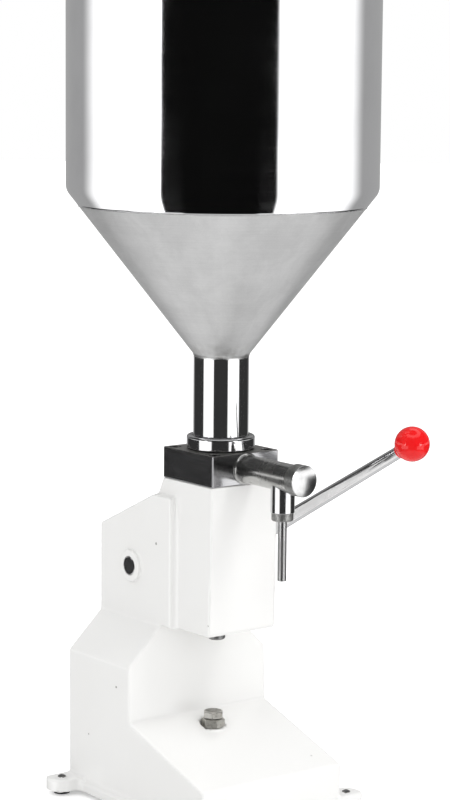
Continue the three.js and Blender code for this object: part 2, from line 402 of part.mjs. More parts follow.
// ---------------------------------------------------------------- spout
{
  const at = [0, 0, OUTLET_Z];
  let s = turned([[PORT_R, -31.4], [9.5, -31.4], [9.5, -37.6], [SPOUT_R + 1.6, -37.6], [SPOUT_R + 1.2, -39], [SPOUT_R + 0.3, -40.2], [SPOUT_R, -41.6],
    [SPOUT_R, SPOUT_END], [SPOUT_BORE, SPOUT_END], [SPOUT_BORE, -48.5], [PORT_R, -43.3], [PORT_R, -31.4]], 28, 'y', at);
  s = s.subtract(rod(3.5, 305, OUTLET_Z, 12, 'z', [0, NOZZLE_Y, 0]));
  add('spout_tube', s, 'chrome');
  add('spout_cap', turned([[0, -104], [9.9, -104], [9.9, -110.6], [13, -110.6], [13, CAP_Y0], [CAP_R - 0.5, CAP_Y0], [CAP_R, CAP_Y0 - 0.5],
    [CAP_R, CAP_Y1 + 2.1], [CAP_R - 0.7, CAP_Y1 + 1.4], [10.5, CAP_Y1 + 0.6], [5, CAP_Y1 + 0.15], [0, CAP_Y1]], 28, 'y', at), 'chrome');
  add('outlet_ball', solid(new THREE.SphereGeometry(OUTLET_BALL_R, 14, 9).translate(0, OUTLET_BALL_Y, OUTLET_Z)), 'mirror');
  add('outlet_spring', spring(6.4, 0.7, 56.4, 103.6, 6, 'y', at), 'brushed');
  // collar: saddle against the underside of the spout tube
  let c = turned([[TUBE_R + GAP, COLLAR_Z0], [COLLAR_BAND_R - 1.6, COLLAR_Z0], [COLLAR_BAND_R - 0.4, COLLAR_Z0 + 0.6], [COLLAR_BAND_R, COLLAR_Z0 + 2],
    [COLLAR_BAND_R, COLLAR_Z0 + 7.2], [COLLAR_R - 0.4, COLLAR_Z0 + 7.4], [COLLAR_R, COLLAR_Z0 + 8], [COLLAR_R, 318], [TUBE_R + GAP, 318], [TUBE_R + GAP, COLLAR_Z0]], 24, 'z', [0, NOZZLE_Y, 0]);
  c = c.subtract(rod(SPOUT_R + GAP + 0.15, -130, -60, 28, 'y', at));
  add('nozzle_collar', c, 'chrome');
  add('nozzle_tube', turned([[TUBE_BORE, TUBE_Z0], [TUBE_R - 0.3, TUBE_Z0], [TUBE_R, TUBE_Z0 + 0.5], [TUBE_R, TUBE_Z1], [TUBE_BORE, TUBE_Z1], [TUBE_BORE, TUBE_Z0]], 18, 'z', [0, NOZZLE_Y, 0]), 'chrome');
}

// ---------------------------------------------------------------- hopper
{
  const w = HOPPER_WALL, t = NECK_WALL, out = [], inn = [];
  const slope = Math.atan2(HOPPER_JUNCTION - NECK_TOP, HOPPER_R - NECK_R);
  out.push([NECK_R, NECK_BOTTOM]);
  const lean = Math.PI / 2 - slope, leg = NECK_BEND * Math.tan(lean / 2);
  for (let i = 0; i <= 3; i++) {
    const a = lean * (i / 3);
    out.push([NECK_R + NECK_BEND * (1 - Math.cos(a)), NECK_TOP - leg + NECK_BEND * Math.sin(a)]);
  }
  const bend = HOPPER_BEND, k = bend * Math.tan(slope / 2 > 0 ? (Math.PI / 2 - slope) / 2 : 0);
  const cx = HOPPER_R - bend, cz = HOPPER_JUNCTION + k;
  for (let i = 0; i <= 3; i++) {
    const a = -(Math.PI / 2 - slope) + (Math.PI / 2 - slope) * (i / 3);
    out.push([cx + bend * Math.cos(a), cz + bend * Math.sin(a)]);
  }
  const beadZ = HOPPER_TOP - RIM_BEAD_R, beadX = HOPPER_R - w + RIM_BEAD_R;
  out.push([HOPPER_R, beadZ - RIM_BEAD_R + 0.1]);
  for (let i = 0; i <= 4; i++) {
    const a = -Math.PI / 3 + (4 * Math.PI / 3) * (i / 4);
    out.push([beadX + RIM_BEAD_R * Math.cos(a), beadZ + RIM_BEAD_R * Math.sin(a)]);
  }
  inn.push([HOPPER_R - w, beadZ - 2]);
  for (let i = 0; i <= 3; i++) {
    const a = -(Math.PI / 2 - slope) * (i / 3);
    inn.push([cx + (bend - w) * Math.cos(a), cz + (bend - w) * Math.sin(a)]);
  }
  const zIn = NECK_TOP + (w / Math.cos(slope)) - t * Math.tan(slope);
  const rin = NECK_BEND + w, legIn = rin * Math.tan(lean / 2);
  for (let i = 3; i >= 0; i--) {
    const a = lean * (i / 3);
    inn.push([NECK_R - t + rin * (1 - Math.cos(a)), zIn - legIn + rin * Math.sin(a)]);
  }
  inn.push([NECK_R - t, NECK_BOTTOM], [NECK_R, NECK_BOTTOM]);
  add('hopper', turned([...out, ...inn], 48, 'z'), 'mirror');
  add('neck_ring', turned([[NECK_R + GAP, RING_Z0], [RING_R, RING_Z0], [RING_R, RING_Z1 - 2.2], [RING_R - 0.7, RING_Z1 - 0.7], [RING_R - 2.2, RING_Z1],
    [NECK_R + GAP, RING_Z1], [NECK_R + GAP, RING_Z0]], 36, 'z'), 'chrome');
  add('neck_gasket', turned([[21, BLOCK_Z1 + 0.2], [RING_R - 0.5, BLOCK_Z1 + 0.2], [RING_R - 0.5, RING_Z0 - 0.2], [21, RING_Z0 - 0.2], [21, BLOCK_Z1 + 0.2]], 28, 'z'), 'rubber');
}

// ---------------------------------------------------------------- volume stop
{
  const at = [0, BOLT_Y], deg = Math.PI / 180;
  const crown = (zt, R) => turned([[0, zt - 30], [R + 4.5, zt - 30], [R + 4.5, zt - 3.4], [R - 0.7, zt], [0, zt]], 24, 'z', [0, BOLT_Y, 0]);
  let head = alongZ(hexagon(HEAD_FLAT, 52.5 * deg, at), HEAD_Z_LOW, HEAD_Z_HIGH).intersect(crown(HEAD_Z_HIGH, HEAD_FLAT / 2));
  head = head.add(turned([[0, BOLT_Z0], [BOLT_R - 1, BOLT_Z0], [BOLT_R, BOLT_Z0 + 1], [BOLT_R, HEAD_Z_LOW + 1], [0, HEAD_Z_LOW + 1]], 18, 'z', [0, BOLT_Y, 0]));
  add('stop_bolt', head, 'steel');
  const nut = alongZ(hexagon(NUT_FLAT, 12.5 * deg, at), NUT_Z0, NUT_Z1).intersect(crown(NUT_Z1, NUT_FLAT / 2));
  add('lock_nut', nut.subtract(rod(BOLT_R + GAP, 60, 90, 18, 'z', [0, BOLT_Y, 0])), 'steel');
}

export default root;
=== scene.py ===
import math
import bpy
import bmesh
import numpy as np
from mathutils import Matrix, Vector


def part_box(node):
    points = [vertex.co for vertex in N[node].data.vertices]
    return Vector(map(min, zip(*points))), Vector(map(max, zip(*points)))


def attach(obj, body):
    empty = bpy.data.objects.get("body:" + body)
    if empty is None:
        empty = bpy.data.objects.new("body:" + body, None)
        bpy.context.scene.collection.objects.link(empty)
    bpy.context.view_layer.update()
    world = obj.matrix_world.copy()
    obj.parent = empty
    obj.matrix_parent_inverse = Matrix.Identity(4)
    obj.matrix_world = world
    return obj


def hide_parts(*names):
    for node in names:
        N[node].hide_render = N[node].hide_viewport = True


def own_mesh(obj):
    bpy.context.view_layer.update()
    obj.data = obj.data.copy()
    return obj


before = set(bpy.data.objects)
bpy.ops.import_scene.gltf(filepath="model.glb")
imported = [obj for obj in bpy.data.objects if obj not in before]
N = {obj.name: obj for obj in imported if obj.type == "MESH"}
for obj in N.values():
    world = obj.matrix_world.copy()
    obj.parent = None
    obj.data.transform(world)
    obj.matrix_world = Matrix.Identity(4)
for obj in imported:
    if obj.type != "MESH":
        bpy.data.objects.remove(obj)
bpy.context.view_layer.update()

MM = 0.001


def mm_box(node):
    lo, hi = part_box(node)
    return np.array(lo) * 1000, np.array(hi) * 1000


# everything below is laid out in millimetres about the hopper's axis
_lo, _hi = mm_box("hopper")
OY = float((_lo[1] + _hi[1]) / 2)
FRAME_SHIFT = np.array([0.0, OY, 0.0])


def zbox(node):
    lo, hi = mm_box(node)
    return float(lo[2]), float(hi[2])


# ------------------------------------------------------------------ mesh helpers
def new_object(name, verts, faces, smooth_angle=30.0, normals=None):
    v = (np.asarray(verts, float) + FRAME_SHIFT) * MM
    me = bpy.data.meshes.new(name)
    me.from_pydata(v.tolist(), [], [list(map(int, f)) for f in faces])
    me.validate()
    me.update()
    ob = bpy.data.objects.new(name, me)
    bpy.context.collection.objects.link(ob)
    bm = bmesh.new()
    bm.from_mesh(me)
    bmesh.ops.recalc_face_normals(bm, faces=bm.faces)
    if normals is None:
        bm.to_mesh(me)
    bm.free()
    shade(ob, smooth_angle)
    if normals is not None:
        me.normals_split_custom_set_from_vertices([tuple(n) for n in normals])
    return ob


def shade(ob, angle=30.0):
    me = ob.data
    me.shade_smooth()
    me.set_sharp_from_angle(angle=math.radians(angle))


def place(r, ang, h, axis, at):
    a, b = r * np.cos(ang), r * np.sin(ang)
    if axis == "z":
        p = np.stack([a, b, h], -1)
    elif axis == "x":
        p = np.stack([h, a, b], -1)
    else:
        p = np.stack([b, h, a], -1)
    return p + np.asarray(at, float)


def lathe_mesh(profile, seg, axis="z", at=(0, 0, 0), closed=False):
    """profile: (radius, height) points; ends on the axis, or closes on itself."""
    P = np.asarray(profile, float)
    n = len(P)
    ang = np.arange(seg) * 2 * math.pi / seg
    verts, index = [], []
    for i in range(n):
        if P[i, 0] < 1e-9:
            index.append([len(verts)] * seg)
            verts.append(place(0.0, 0.0, P[i, 1], axis, at))
        else:
            base = len(verts)
            index.append(list(range(base, base + seg)))
            verts.extend(place(P[i, 0], ang, np.full(seg, P[i, 1]), axis, at))
    faces = []
    pairs = [(i, i + 1) for i in range(n - 1)] + ([(n - 1, 0)] if closed else [])
    for i, j in pairs:
        A, B = index[i], index[j]
        ia, ib = A[0] == A[-1], B[0] == B[-1]
        if ia and ib:
            continue
        for k in range(seg):
            l = (k + 1) % seg
            if ia:
                faces.append((A[0], B[l], B[k]))
            elif ib:
                faces.append((A[k], A[l], B[0]))
            else:
                faces.append((A[k], A[l], B[l], B[k]))
    return np.array(verts), faces


def lathe(name, profile, seg=96, axis="z", at=(0, 0, 0), closed=False, angle=30.0):
    v, f = lathe_mesh(profile, seg, axis, at, closed)
    return new_object(name, v, f, angle)


def arc(cx, cy, r, a0, a1, n=6):
    """points on a circle from a0 to a1 degrees"""
    t = np.radians(np.linspace(a0, a1, n + 1))
    return [(cx + r * math.cos(q), cy + r * math.sin(q)) for q in t]


def round_profile(pts, radii, n=5, closed=False):
    """rounds the corners of a polyline; radii is one number or one per point"""
    P = [np.array(p, float) for p in pts]
    m = len(P)
    R = [radii] * m if np.isscalar(radii) else list(radii)
    out = []
    for i in range(m):
        if (not closed and i in (0, m - 1)) or R[i] <= 0:
            out.append(tuple(P[i]))
            continue
        a, b, c = P[i - 1], P[i], P[(i + 1) % m]
        u, w = (a - b) / np.linalg.norm(a - b), (c - b) / np.linalg.norm(c - b)
        cosang = float(np.clip(u @ w, -1, 1))
        half = math.acos(cosang) / 2
        if half > math.radians(89):
            out.append(tuple(b))
            continue
        d = min(R[i] / math.tan(half), 0.48 * np.linalg.norm(a - b), 0.48 * np.linalg.norm(c - b))
        r = d * math.tan(half)
        centre = b + (u + w) / np.linalg.norm(u + w) * (r / math.sin(half))
        s, e = b + u * d, b + w * d
        a0 = math.atan2(*(s - centre)[::-1])
        a1 = math.atan2(*(e - centre)[::-1])
        while a1 - a0 > math.pi:
            a1 -= 2 * math.pi
        while a1 - a0 < -math.pi:
            a1 += 2 * math.pi
        for t in np.linspace(a0, a1, n + 1):
            out.append((centre[0] + r * math.cos(t), centre[1] + r * math.sin(t)))
    return out


def prism_mesh(pts, z0, z1):
    n = len(pts)
    v = [(x, y, z0) for x, y in pts] + [(x, y, z1) for x, y in pts]
    f = [tuple(reversed(range(n))), tuple(range(n, 2 * n))]
    f += [(i, (i + 1) % n, n + (i + 1) % n, n + i) for i in range(n)]
    return np.array(v, float), f


def boolean(ob, cutters, op="DIFFERENCE", angle=30.0, bevel=0.0, bevel_seg=2, bevel_angle=25.0):
    """applies booleans (and a small edge round) and leaves a plain mesh"""
    for c in cutters:
        m = ob.modifiers.new("cut", "BOOLEAN")
        m.object, m.operation, m.solver = c, op, "EXACT"
    if bevel:
        b = ob.modifiers.new("edge", "BEVEL")
        b.width, b.segments, b.limit_method, b.angle_limit = bevel * MM, bevel_seg, "ANGLE", math.radians(bevel_angle)
        b.use_clamp_overlap = True
    dg = bpy.context.evaluated_depsgraph_get()
    me = bpy.data.meshes.new_from_object(ob.evaluated_get(dg))
    ob.modifiers.clear()
    old = ob.data
    ob.data = me
    me.name = ob.name
    bpy.data.meshes.remove(old)
    for c in cutters:
        m = c.data
        bpy.data.objects.remove(c)
        bpy.data.meshes.remove(m)
    shade(ob, angle)
    return ob


def poly_sdf(pts):
    P = np.asarray(pts, float)

    def f(u, v):
        u, v = np.broadcast_arrays(u, v)
        d = np.full(u.shape, 1e18)
        s = np.ones(u.shape)
        for i in range(len(P)):
            a, b = P[i], P[i - 1]
            ex, ey = b - a
            wx, wy = u - a[0], v - a[1]
            t = np.clip((wx * ex + wy * ey) / (ex * ex + ey * ey), 0, 1)
            d = np.minimum(d, (wx - ex * t) ** 2 + (wy - ey * t) ** 2)
            c1, c2, c3 = v >= a[1], v < b[1], ex * wy > ey * wx
            s = np.where((c1 & c2 & c3) | (~c1 & ~c2 & ~c3), -s, s)
        return s * np.sqrt(d)
    return f


def U(a, b, r=0.0):
    if r <= 0:
        return np.minimum(a, b)
    return np.maximum(r, np.minimum(a, b)) - np.hypot(np.maximum(r - a, 0), np.maximum(r - b, 0))


def X(a, b, r=0.0):
    if r <= 0:
        return np.maximum(a, b)
    return np.minimum(-r, np.maximum(a, b)) + np.hypot(np.maximum(r + a, 0), np.maximum(r + b, 0))


def D(a, b, r=0.0):
    return X(a, -b, r)


def cyl(u, v, h, r, h0, h1, edge=0.0):
    """cylinder about (u, v) = 0 from h0 to h1"""
    return X(np.hypot(u, v) - r, np.maximum(h0 - h, h - h1), edge)


def surface_nets(fn, lo, hi, step, iters=4):
    lo, hi = np.asarray(lo, float), np.asarray(hi, float)
    n = np.ceil((hi - lo) / step).astype(int) + 1
    ax = [lo[i] + step * np.arange(n[i]) for i in range(3)]
    F = np.asarray(fn(ax[0][:, None, None], ax[1][None, :, None], ax[2][None, None, :]))
    F = np.broadcast_to(F, tuple(n)).astype(np.float32)
    ins = F < 0
    cnt = np.zeros(tuple(n - 1), np.int8)
    for dx in (0, 1):
        for dy in (0, 1):
            for dz in (0, 1):
                cnt += ins[dx:n[0] - 1 + dx, dy:n[1] - 1 + dy, dz:n[2] - 1 + dz]
    act = (cnt > 0) & (cnt < 8)
    cells = np.argwhere(act)
    cid = np.full(act.shape, -1, np.int64)
    cid[act] = np.arange(len(cells))
    corner = np.array([[i, j, k] for i in (0, 1) for j in (0, 1) for k in (0, 1)])
    val = np.stack([F[cells[:, 0] + c[0], cells[:, 1] + c[1], cells[:, 2] + c[2]] for c in corner], 1).astype(float)
    acc, num = np.zeros((len(cells), 3)), np.zeros(len(cells))
    for p in range(8):
        for q in range(p + 1, 8):
            if np.abs(corner[p] - corner[q]).sum() != 1:
                continue
            a, b = val[:, p], val[:, q]
            cross = (a < 0) != (b < 0)
            t = np.where(cross, a / np.where(cross, a - b, 1), 0)
            pt = corner[p] + (corner[q] - corner[p]) * t[:, None]
            acc += np.where(cross[:, None], pt, 0)
            num += cross
    v = lo + (cells + acc / num[:, None]) * step
    quads = []
    for d in range(3):
        e, f = (d + 1) % 3, (d + 2) % 3
        sl = [slice(None)] * 3
        a_s, b_s = list(sl), list(sl)
        a_s[d], b_s[d] = slice(0, n[d] - 1), slice(1, n[d])
        A, B = ins[tuple(a_s)], ins[tuple(b_s)]
        ch = A != B
        idx = np.argwhere(ch)
        ok = (idx[:, e] > 0) & (idx[:, f] > 0) & (idx[:, e] < n[e] - 1) & (idx[:, f] < n[f] - 1)
        idx = idx[ok]
        inside_first = A[tuple(idx.T)]
        def at(de, df):
            j = idx.copy()
            j[:, e] += de
            j[:, f] += df
            return cid[tuple(j.T)]
        q = np.stack([at(-1, -1), at(0, -1), at(0, 0), at(-1, 0)], 1)
        q[~inside_first] = q[~inside_first][:, ::-1]
        quads.append(q)
    quads = np.concatenate(quads)
    quads = quads[(quads >= 0).all(1)]

    def grad(p, h):
        g = np.zeros_like(p)
        for i in range(3):
            o = np.zeros(3)
            o[i] = h
            g[:, i] = (fn(*(p + o).T) - fn(*(p - o).T)) / (2 * h)
        return g
    start = v.copy()
    for _ in range(iters):
        f0 = np.asarray(fn(*v.T), float)
        g = grad(v, 0.04 * step)
        g2 = np.maximum((g * g).sum(1), 1e-3)
        v = v - g * (f0 / g2)[:, None]
        off = v - start
        far = np.linalg.norm(off, axis=1) / (0.85 * step)
        v = start + off / np.maximum(far, 1)[:, None]
    g = grad(v, 0.12 * step)
    g /= np.maximum(np.linalg.norm(g, axis=1), 1e-9)[:, None]
    return v, quads, g


def sdf_object(name, fn, lo, hi, step, angle=180.0, custom=True):
    v, q, g = surface_nets(fn, lo, hi, step)
    me = bpy.data.meshes.new(name)
    co = (v + FRAME_SHIFT) * MM
    me.vertices.add(len(co))
    me.vertices.foreach_set("co", co.astype(np.float32).ravel())
    me.loops.add(len(q) * 4)
    me.loops.foreach_set("vertex_index", q.astype(np.int32).ravel())
    me.polygons.add(len(q))
    me.polygons.foreach_set("loop_start", np.arange(len(q), dtype=np.int32) * 4)
    me.update(calc_edges=True)
    me.validate()
    ob = bpy.data.objects.new(name, me)
    bpy.context.collection.objects.link(ob)
    me.shade_smooth()
    if angle < 180:
        me.set_sharp_from_angle(angle=math.radians(angle))
    if custom:
        me.normals_split_custom_set_from_vertices([tuple(n) for n in g])
    return ob


# ------------------------------------------------------------------ shader helpers
class Sock:
    """a shader value that can be used in arithmetic"""

    def __init__(self, t, s):
        self.t, self.s = t, s

    def _op(self, op, *args, clamp=False):
        n = self.t.nodes.new("ShaderNodeMath")
        n.operation, n.use_clamp = op, clamp
        for i, a in enumerate((self,) + args):
            if isinstance(a, Sock):
                self.t.links.new(a.s, n.inputs[i])
            else:
                n.inputs[i].default_value = float(a)
        return Sock(self.t, n.outputs[0])

    def __add__(self, o): return self._op("ADD", o)
    __radd__ = __add__
    def __mul__(self, o): return self._op("MULTIPLY", o)
    __rmul__ = __mul__
    def __sub__(self, o): return self._op("SUBTRACT", o)
    def __rsub__(self, o): return (self * -1.0) + o
    def __truediv__(self, o): return self._op("DIVIDE", o)
    def __neg__(self): return self * -1.0
    def min(self, o): return self._op("MINIMUM", o)
    def max(self, o): return self._op("MAXIMUM", o)
    def abs(self): return self._op("ABSOLUTE")
    def pow(self, o): return self._op("POWER", o)
    def sqrt(self): return self._op("SQRT")
    def atan2(self, o): return self._op("ARCTAN2", o)
    def asin(self): return self._op("ARCSINE")
    def sin(self): return self._op("SINE")
    def cos(self): return self._op("COSINE")
    def fract(self): return self._op("FRACT")
    def clamp(self): return self._op("ADD", 0.0, clamp=True)

    def step(self, lo, hi, a=0.0, b=1.0):
        """smooth ramp from a to b between lo and hi"""
        n = self.t.nodes.new("ShaderNodeMapRange")
        n.interpolation_type = "SMOOTHSTEP"
        vals = [lo, hi, a, b]
        if lo > hi:
            vals = [hi, lo, b, a]
        self.t.links.new(self.s, n.inputs[0])
        for i, x in enumerate(vals):
            n.inputs[1 + i].default_value = float(x)
        return Sock(self.t, n.outputs[0])

    def lin(self, lo, hi, a=0.0, b=1.0):
        n = self.t.nodes.new("ShaderNodeMapRange")
        n.clamp = True
        self.t.links.new(self.s, n.inputs[0])
        for i, x in enumerate([lo, hi, a, b]):
            n.inputs[1 + i].default_value = float(x)
        return Sock(self.t, n.outputs[0])


def mixf(a, b, f):
    """float mix"""
    t = next(x.t for x in (a, b, f) if isinstance(x, Sock))
    n = t.nodes.new("ShaderNodeMix")
    n.data_type = "FLOAT"
    for i, x in ((0, f), (2, a), (3, b)):
        if isinstance(x, Sock):
            t.links.new(x.s, n.inputs[i])
        else:
            n.inputs[i].default_value = float(x)
    return Sock(t, n.outputs[0])


class Mat:
    """a node material built in code"""

    def __init__(self, name):
        self.m = bpy.data.materials.new(name)
        self.m.use_nodes = True
        self.t = self.m.node_tree
        self.b = self.t.nodes["Principled BSDF"]
        self._tc = None

    def node(self, kind, **kw):
        n = self.t.nodes.new(kind)
        for k, v in kw.items():
            setattr(n, k, v)
        return n

    def xyz(self):
        """rest-frame position in millimetres about the hopper axis"""
        if self._tc is None:
            tc = self.node("ShaderNodeTexCoord")
            sp = self.node("ShaderNodeSeparateXYZ")
            self.t.links.new(tc.outputs["Object"], sp.inputs[0])
            self._tc = tc
            self._xyz = (Sock(self.t, sp.outputs[0]) * 1000.0, Sock(self.t, sp.outputs[1]) * 1000.0 - OY,
                         Sock(self.t, sp.outputs[2]) * 1000.0)
        return self._xyz

    def vec(self, x, y, z):
        n = self.node("ShaderNodeCombineXYZ")
        for i, a in enumerate((x, y, z)):
            if isinstance(a, Sock):
                self.t.links.new(a.s, n.inputs[i])
            else:
                n.inputs[i].default_value = float(a)
        return n.outputs[0]

    def noise(self, vec=None, scale=1.0, detail=3.0, rough=0.5, dist=0.0, seed=0.0):
        """noise of a vector in millimetres, 0..1"""
        if vec is None:
            vec = self.vec(*self.xyz())
        n = self.node("ShaderNodeTexNoise")
        n.noise_dimensions = "4D"
        self.t.links.new(vec, n.inputs["Vector"])
        n.inputs["W"].default_value = seed
        n.inputs["Scale"].default_value = scale
        n.inputs["Detail"].default_value = detail
        n.inputs["Roughness"].default_value = rough
        n.inputs["Distortion"].default_value = dist
        return Sock(self.t, n.outputs[0])

    def voronoi(self, vec=None, scale=1.0, seed=0.0, feature="F1"):
        if vec is None:
            vec = self.vec(*self.xyz())
        n = self.node("ShaderNodeTexVoronoi")
        n.voronoi_dimensions = "4D"
        n.feature = feature
        self.t.links.new(vec, n.inputs["Vector"])
        n.inputs["W"].default_value = seed
        n.inputs["Scale"].default_value = scale
        return Sock(self.t, n.outputs["Distance"])

    def mix(self, a, b, f):
        """colour mix; a and b are (r, g, b) or sockets"""
        n = self.node("ShaderNodeMix", data_type="RGBA")
        if isinstance(f, Sock):
            self.t.links.new(f.s, n.inputs[0])
        else:
            n.inputs[0].default_value = float(f)
        for i, c in ((6, a), (7, b)):
            if isinstance(c, (tuple, list)):
                n.inputs[i].default_value = (*c[:3], 1.0)
            else:
                self.t.links.new(c, n.inputs[i])
        return n.outputs[2]

    def set(self, name, v):
        s = self.b.inputs[name]
        if isinstance(v, Sock):
            self.t.links.new(v.s, s)
        elif hasattr(v, "is_output"):
            self.t.links.new(v, s)
        elif isinstance(v, (tuple, list)):
            s.default_value = (*v[:3], 1.0) if len(s.default_value) == 4 else v
        else:
            s.default_value = v
        return self

    def bump(self, height, strength=0.3, dist=0.1, prev=None):
        """height is a Sock in 0..1, dist is its full depth in millimetres"""
        n = self.node("ShaderNodeBump")
        n.inputs["Strength"].default_value = strength
        n.inputs["Distance"].default_value = dist * MM
        self.t.links.new(height.s, n.inputs["Height"])
        if prev is not None:
            self.t.links.new(prev, n.inputs["Normal"])
        return n.outputs[0]

    def normal(self, out):
        self.t.links.new(out, self.b.inputs["Normal"])
        return self

    def ao(self, dist, samples=6):
        n = self.node("ShaderNodeAmbientOcclusion")
        n.samples = samples
        n.inputs["Distance"].default_value = dist * MM
        return Sock(self.t, n.outputs["AO"])

    def pointiness(self):
        n = self.node("ShaderNodeNewGeometry")
        return Sock(self.t, n.outputs["Pointiness"])

    def tangent(self, axis="Z"):
        n = self.node("ShaderNodeTangent", direction_type="RADIAL", axis=axis)
        self.t.links.new(n.outputs[0], self.b.inputs["Tangent"])


# ------------------------------------------------------------------ materials
def make_paint():
    m = Mat("casting_enamel")
    x, y, z = m.xyz()
    cloud = m.noise(scale=0.012, detail=4, seed=1.0)
    blot = m.noise(scale=0.09, detail=5, rough=0.6, seed=2.0)
    base = m.mix((0.878, 0.876, 0.862), (0.892, 0.890, 0.878), cloud.step(0.3, 0.7))
    base = m.mix(base, (0.80, 0.785, 0.74), (blot.step(0.60, 0.86) * 0.035))
    # darkening in crevices and inside corners, set by ambient occlusion: painted shade, broken into patches of grime
    crevice_shade_and_grime = m.ao(9.0).step(0.25, 0.85, 1.0, 0.0)
    base = m.mix(base, (0.55, 0.53, 0.48), (crevice_shade_and_grime * m.noise(scale=0.25, detail=4, seed=3.0).step(0.35, 0.75) * 0.28))
    # chips: a few fixed ones and a sprinkle on the corners
    chips = None
    for cx, cy, cz, r in ((-44.0, 39.1, 246.4, 1.5), (-79.2, 71.0, 147.2, 2.2), (-79.2, 51.5, 114.2, 1.4), (-79.2, 96.0, 60.0, 0.9),
                          (-38.0, -33.0, 182.0, 1.0), (60.0, -62.0, 52.0, 1.1), (-60.0, 128.0, 120.0, 1.4)):
        d = ((x - cx).pow(2.0) + (y - cy).pow(2.0) + (z - cz).pow(2.0)).sqrt() + m.noise(scale=0.7, detail=3, seed=4.0) * 2.2 - 1.1
        c = d.step(r, r * 0.55)
        chips = c if chips is None else chips.max(c)
    edge = m.pointiness().step(0.53, 0.60)
    wear = (edge * m.noise(scale=0.16, detail=5, rough=0.65, seed=5.0).step(0.66, 0.74)).clamp()
    mask = chips.max(wear * 0.8)
    base = m.mix(base, (0.23, 0.22, 0.205), mask * 0.85)
    m.set("Base Color", base)
    m.set("Roughness", mixf(mixf(0.28, 0.31, blot.step(0.35, 0.7)), 0.6, mask))
    m.set("Specular IOR Level", 0.5)
    m.set("Coat Weight", (1.0 - mask) * 0.35)
    m.set("Coat Roughness", 0.12)
    cast = m.noise(scale=0.045, detail=3, seed=6.0)
    peel = m.noise(scale=0.62, detail=2, seed=7.0)
    b = m.bump(cast, 0.3, 0.25)
    b = m.bump(peel, 0.35, 0.055, b)
    b = m.bump(mask, 0.6, -0.12, b)
    m.normal(b)
    return m.m


def make_polish(name, axis=None, at=(0, 0), base=(0.74, 0.74, 0.75), rough=0.07, lines=0.35, tint=(0.60, 0.60, 0.61), satin_below=None, rim_behind=None):
    """turned and polished steel; axis is the turning axis, whose lines run round it"""
    m = Mat(name)
    x, y, z = m.xyz()
    fine = {"z": m.vec(x * 0.02, y * 0.02, z * 3.0), "y": m.vec(x * 0.02, y * 3.0, z * 0.02), "x": m.vec(x * 3.0, y * 0.02, z * 0.02)}.get(axis)
    if fine is None:
        fine = m.vec(x * 0.25, y * 0.25, z * 2.0)
    ln = m.noise(fine, 1.0, 4, 0.6, seed=11.0)
    smear = m.noise(scale=0.05, detail=4, rough=0.6, seed=12.0)
    col = m.mix(base, tint, smear.step(0.35, 0.8) * 0.5)
    ro = mixf(rough, rough * 2.1, (smear.step(0.3, 0.75) * 0.6 + ln.step(0.3, 0.8) * 0.4))
    if satin_below is not None or rim_behind is not None:
        dull = z.step(satin_below + 0.3, satin_below - 0.3) if satin_below is not None else y.step(rim_behind - 0.2, rim_behind + 0.2)
        mot = m.noise(scale=0.5, detail=4, rough=0.65, seed=14.0)
        col = m.mix(col, m.mix((0.30, 0.30, 0.29), (0.50, 0.50, 0.49), mot.step(0.3, 0.7)), dull)
        ro = mixf(ro, 0.46, dull)
    m.set("Base Color", col)
    m.set("Metallic", 1.0)
    m.set("Roughness", ro)
    b = m.bump(ln, lines, 0.02)
    b = m.bump(m.noise(scale=0.03, detail=2, seed=13.0), 0.25, 0.25, b)
    m.normal(b)
    return m.m


